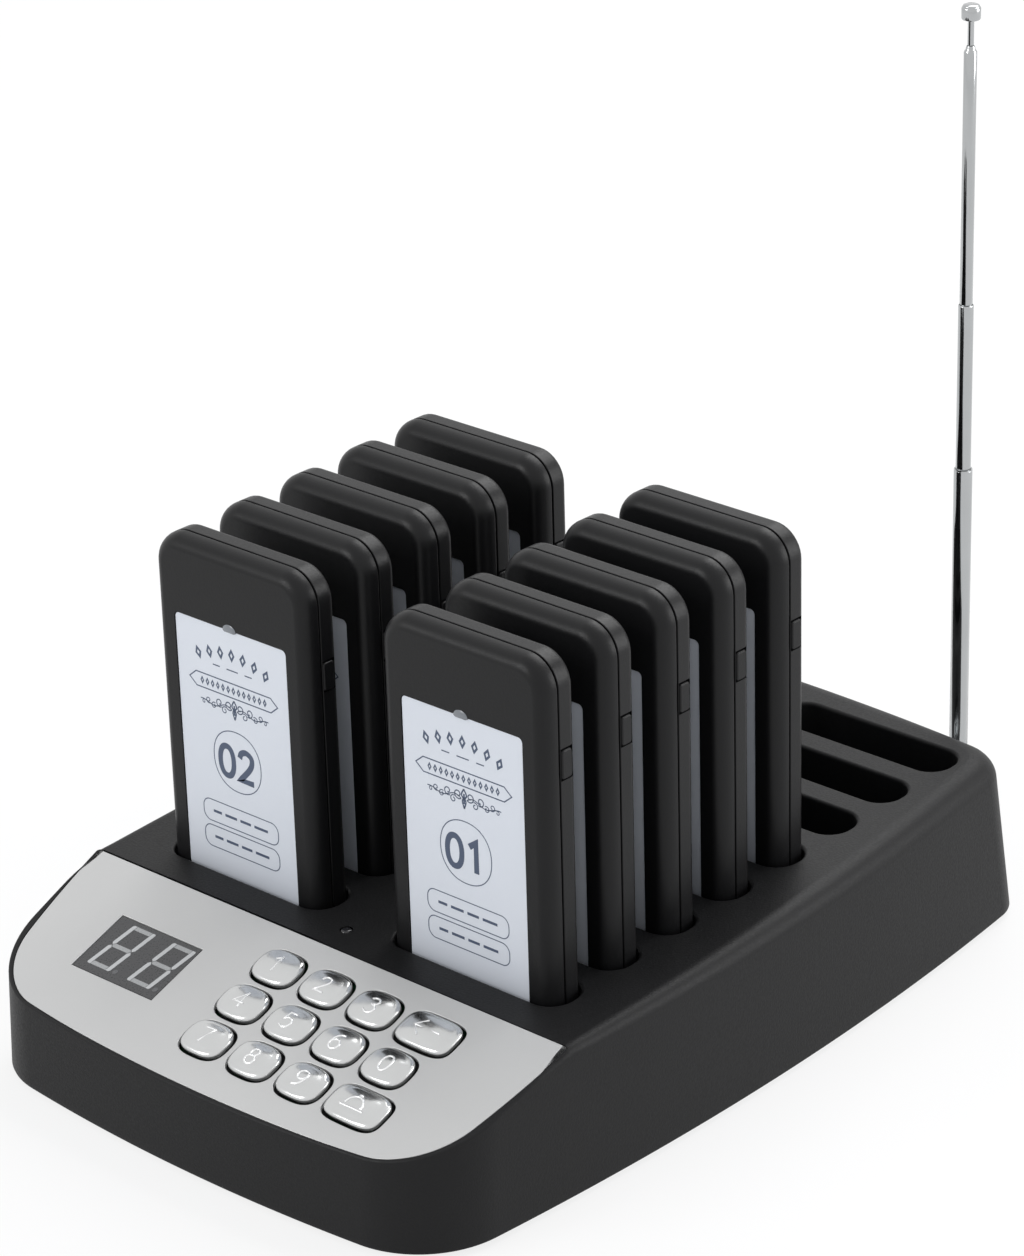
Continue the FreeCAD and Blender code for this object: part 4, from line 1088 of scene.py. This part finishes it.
def printStrokes():
    # lines printed on every card, as (path, width, closed), with heights above the deck: an
    # arched row of diamonds, three dashes, a banner, a flourish, a ring and two empty frames
    strokes = [(oval(0, 30.7, 8.0, 8.0, 72), 0.25, True)]
    for x in np.linspace(-11.4, 11.4, 7):
        strokes.append((diamond(x, 58.9 - x * x * 0.0165, 0.75, 1.25, -x * 0.033), 0.55, True))
    for x0, x1 in ((-6.6, -4.2), (-1.9, 1.9), (4.2, 6.6)):
        strokes.append(([[x0, 54.9], [x1, 54.9]], 0.3, False))
    strokes.append((np.array([[-14.9, 0], [-12.6, 1.9], [12.6, 1.9], [14.9, 0], [12.6, -1.9],
                              [-12.6, -1.9]]) + np.array([0, 49.6]), 0.3, True))
    for x in np.linspace(-10.6, 10.6, 13):
        strokes.append((diamond(x, 49.6, 0.42, 0.75), 0.34, True))
    strokes += [(path + np.array([0, 44.4]), width, closed)
                for path, width, closed in scrollwork()]
    dashes = ((-9.4, -6.6), (-5.4, -1.4), (-0.2, 3.4), (4.6, 9.2))
    for height in (15.0, 8.0):
        strokes.append((roundedLoop(12.8, 2.9, 2.3, 8) + np.array([0, height]), 0.25, True))
        strokes += [([[x0, height], [x1, height]], 0.7, False) for x0, x1 in dashes]
    return strokes


def printShapes(number):
    thick = pager["inkThick"]
    marks = [strokeShape(path, width, thick, closed) for path, width, closed in printStrokes()]
    points, faces = figureShape("%02d" % number, 9.4, 1.55, thick, flatSection, spread=0.94)
    marks.append((points + np.array([-0.3, 30.2, 0]), faces))
    points, faces = joined(marks)
    lift = base["slotDepth"] - pager["floorGap"]
    return points + np.array([0, lift, thick / 2 - pager["cardSink"]]), faces


def makePager(number):
    name = "pager_%02d" % number
    place = pagerPlace(number)
    label = "pager%02d" % number
    shells = joined([frontShell(), backShell()])
    pieces = [
        (label + ".shells", shells, pagerAbs, (name + "_case",), "pager_shell", name),
        (label + ".card", cardShape(), silverCard, (name + "_card",), "card", name),
        (label + ".print", printShapes(number), printInk, (), "card", name),
        (label + ".tab", tabShape(), clearTab, (), "pager_shell", name),
        (label + ".button", buttonShape(), pagerAbs, (name + "_button",), "pager_button",
         name + "_side_button"),
    ]
    for pieceName, (points, faces), material, hides, slotName, body in pieces:
        addPiece(pieceName, (standing(points, place), faces), material, body, hides=hides,
                 sharpAngle=38)


for number in range(1, 11):
    makePager(number)
print("pagers made")


# The antenna

tubes = {
    "lowerRadius": 2.39, "middleRadius": 1.95, "upperRadius": 1.65, "rodRadius": 0.8,
    "lowerFoot": 28.5, "lowerTop": 110.5, "middleTop": 154.5, "upperTop": 221.0,
    "knobFoot": 227.5, "knobRadius": 2.4, "knobHeight": 3.8,
    "middleLength": 78.0, "upperLength": 76.0, "rodLength": 74.0,
}


def tubeProfile(radius, inner, foot, top):
    # outer wall with its mouth rolled in to the next section
    roll = radius - inner - 0.05
    bends = [(radius - roll * (1 - math.cos(t)), top - roll + roll * math.sin(t))
             for t in np.linspace(0, np.pi / 2, 6)]
    return [(radius - 0.25, foot), (radius, foot + 0.25)] + bends + [(inner + 0.05, top - 1.5)]


def makeAntenna():
    t = tubes
    centre = np.array([antenna["x"], antenna["y"], 0])

    def section(name, profile, body, hides):
        points, faces = lathe(profile, 48)
        addPiece(name, (points + centre, faces), polishedChrome, body, hides=hides,
                 sharpAngle=50, flatten=False)

    section("antennaMiddleTube", tubeProfile(
        t["middleRadius"], t["upperRadius"], t["middleTop"] - t["middleLength"], t["middleTop"]),
        "antenna_middle", ("antenna_middle_tube",))
    neck = [(t["upperRadius"], t["upperTop"] - 1.6), (1.5, t["upperTop"] - 1.2),
            (1.2, t["upperTop"] - 0.9), (1.15, t["upperTop"] - 0.4), (1.0, t["upperTop"]),
            (0.85, t["upperTop"]), (0.85, t["upperTop"] - 0.8)]
    foot = t["upperTop"] - t["upperLength"]
    section("antennaUpperTube", [(t["upperRadius"] - 0.2, foot), (t["upperRadius"], foot + 0.2)]
            + neck, "antenna_upper", ("antenna_upper_tube",))
    k, low = t["knobRadius"], t["knobFoot"]
    high = low + t["knobHeight"]
    end = low - t["rodLength"]
    knob = [(0.001, end), (0.6, end), (t["rodRadius"], end + 0.2),
            (t["rodRadius"], low - 0.3), (t["rodRadius"] + 0.15, low - 0.05), (k - 0.5, low),
            (k - 0.15, low + 0.15), (k, low + 0.5), (k, high - 0.9), (k - 0.1, high - 0.65),
            (k - 0.3, high - 0.5), (k - 0.3, high - 0.3), (k - 0.45, high - 0.1),
            (k - 0.7, high), (0.001, high)]
    section("antennaTipRod", knob, "antenna_end", ("antenna_tip",))
    section("antennaLowerSleeve", tubeProfile(
        t["lowerRadius"], t["middleRadius"], t["lowerFoot"], t["lowerTop"]), "antenna_mast", ())
    softenedCopy("antennaSwivel", "antenna_swivel", 0.35, polishedChrome, "antenna_turn")
    for nodeName in ("antenna_lower_tube", "antenna_socket"):
        refinish(nodeName, polishedChrome)


makeAntenna()
print("antenna made")


# Small parts at the back and underneath

def makeInlet():
    # a round bezel in the wall with the plug's bore and its centre pin
    z = inletHole["z"]
    face = float(backWallY(np.array(inletHole["x"]), np.array(z)))
    profile = [(4.2, face - 4.0), (4.2, face + 0.55), (4.05, face + 0.75), (3.8, face + 0.8),
               (3.1, face + 0.8), (2.85, face + 0.65), (2.75, face + 0.4), (2.75, face - 7.5),
               (1.05, face - 7.5), (1.0, face - 1.3), (0.8, face - 1.05), (0.001, face - 1.0)]
    points, faces = lathe(profile, 56)
    addPiece("powerInlet", (alongY(points, inletHole["x"], z), faces), glossBlack, "base",
             hides=("dc_inlet",))


feet = {"x": 56.0, "frontY": -93.3, "backY": 88.3}


def makeFeet():
    profile = [(0.001, 0.0), (5.2, 0.0), (5.7, 0.12), (5.95, 0.45), (6.0, 0.9), (6.0, 2.7)]
    shapes = []
    for x in (-feet["x"], feet["x"]):
        for y in (feet["frontY"], feet["backY"]):
            points, faces = lathe(profile, 48)
            shapes.append((points + np.array([x, y, 0]), faces))
    addPiece("rubberFeet", joined(shapes), blackRubber, "base", hides=("rubber_feet",))


makeInlet()
makeFeet()
softenedCopy("powerRocker", "power_switch", 0.3, glossBlack, "power_rocker")
print("small parts made")


# Floor, light and camera

def seesBackground(tree):
    # 1 for a ray straight from the camera, off a glossy surface or through a clear one, else 0
    rays = addNode(tree, "ShaderNodeLightPath")
    seen = addNode(tree, "ShaderNodeMath", {0: rays.outputs["Is Camera Ray"],
                                            1: rays.outputs["Is Glossy Ray"]}, operation="ADD")
    seen = addNode(tree, "ShaderNodeMath", {0: seen.outputs[0],
                                            1: rays.outputs["Is Transmission Ray"]},
                   operation="ADD", use_clamp=True)
    return seen.outputs[0]


def makeFloor():
    # pale flat floor: mostly white to those rays, and lit by the rest so that it keeps a shadow
    mesh = bpy.data.meshes.new("studioFloor")
    reach = 6.0
    low = -0.00005
    mesh.from_pydata([(-reach, -reach, low), (reach, -reach, low), (reach, reach, low),
                      (-reach, reach, low)], [], [(0, 1, 2, 3)])
    floor = placed("studioFloor", mesh)
    material, tree = newMaterial("paleStudioFloor")
    share = addNode(tree, "ShaderNodeMath", {
        0: seesBackground(tree), 1: surroundings["floorWhite"]}, operation="MULTIPLY")
    lit = addNode(tree, "ShaderNodeBsdfDiffuse", {"Color": linear("#e8e8e8")})
    white = addNode(tree, "ShaderNodeEmission", {"Color": linear("#ffffff"), "Strength": 1.0})
    mixed = addNode(tree, "ShaderNodeMixShader", {
        "Fac": share.outputs[0], 1: lit.outputs[0], 2: white.outputs[0]})
    addNode(tree, "ShaderNodeOutputMaterial", {"Surface": mixed.outputs[0]})
    mesh.materials.append(material)


view = {
    "target": (-0.01249, 0.02824, 0.06695), "distance": 1.100296,
    "azimuth": 42.243, "elevation": 24.909, "roll": -1.351,
    "focalPixels": 4388.98, "centre": (568.75, 686.02), "image": (1024, 1256),
}

surroundings = {"low": 0.36, "high": 0.8, "floorWhite": 0.82}


def makeWorld():
    # white to the camera, in reflections and through clear plastic; to all other light a dim
    # dome, brighter above
    world = bpy.data.worlds.new("softStudio")
    bpy.context.scene.world = world
    world.use_nodes = True
    tree = world.node_tree
    tree.nodes.clear()
    way = addNode(tree, "ShaderNodeTexCoord").outputs["Generated"]
    part = addNode(tree, "ShaderNodeSeparateXYZ", {0: way})
    level = addNode(tree, "ShaderNodeMapRange", {
        "Value": part.outputs["Z"], "From Min": -0.2, "From Max": 0.9,
        "To Min": surroundings["low"], "To Max": surroundings["high"]}).outputs["Result"]
    dome = addNode(tree, "ShaderNodeBackground", {"Color": linear("#f4f6fa"), "Strength": level})
    white = addNode(tree, "ShaderNodeBackground", {"Color": linear("#ffffff"), "Strength": 1.0})
    mixed = addNode(tree, "ShaderNodeMixShader", {
        "Fac": seesBackground(tree), 1: dome.outputs[0], 2: white.outputs[0]})
    addNode(tree, "ShaderNodeOutputWorld", {"Surface": mixed.outputs[0]})


def aimedAt(location, target):
    # rotation that turns an object's -Z from its place to the target
    back = np.asarray(location, float) - np.asarray(target, float)
    back /= np.linalg.norm(back)
    right = np.cross([0, 0, 1], back)
    right /= np.linalg.norm(right)
    up = np.cross(back, right)
    return Matrix(np.column_stack([right, up, back]).tolist()).to_4x4()


studio = {
    "soft top": {"from": (-0.1, 0.9, 1.3), "size": (1.2, 0.9), "power": 16.0},
    "right side": {"from": (1.25, 0.95, 0.5), "size": (0.9, 0.9), "power": 11.0},
    "front left": {"from": (-0.7, -1.5, 1.0), "size": (0.8, 0.8), "power": 12.0},
}


def makeLamps():
    for name, lamp in studio.items():
        light = bpy.data.lights.new(name.replace(" ", "."), "AREA")
        light.shape = "RECTANGLE"
        light.size, light.size_y = lamp["size"]
        light.energy = lamp["power"]
        holder = placed(light.name, light)
        holder.matrix_world = Matrix.Translation(lamp["from"]) @ aimedAt(
            lamp["from"], (0, 0, 0.06))


def makeCamera():
    # looks at the target from azimuth and elevation, then rolls about its own axis
    turn, lift, roll = (math.radians(view[key]) for key in ("azimuth", "elevation", "roll"))
    back = np.array([math.sin(turn) * math.cos(lift), -math.cos(turn) * math.cos(lift),
                     math.sin(lift)])
    level = np.array([math.cos(turn), math.sin(turn), 0])
    above = np.cross(back, level)
    right = level * math.cos(roll) + above * math.sin(roll)
    up = above * math.cos(roll) - level * math.sin(roll)
    data = bpy.data.cameras.new("photoCamera")
    wide, tall = view["image"]
    data.sensor_fit = "AUTO"
    data.sensor_width = 36.0
    data.lens = view["focalPixels"] * data.sensor_width / tall
    data.shift_x = (wide / 2 - view["centre"][0]) / tall
    data.shift_y = (view["centre"][1] - tall / 2) / tall
    data.clip_end = 20
    camera = placed("photoCamera", data)
    camera.matrix_world = Matrix.Translation(
        np.array(view["target"]) + back * view["distance"]) @ Matrix(
        np.column_stack([right, up, back]).tolist()).to_4x4()
    bpy.context.scene.camera = camera


makeFloor()
makeWorld()
makeLamps()
makeCamera()
bpy.context.scene.view_settings.view_transform = "Standard"
print("stage made")
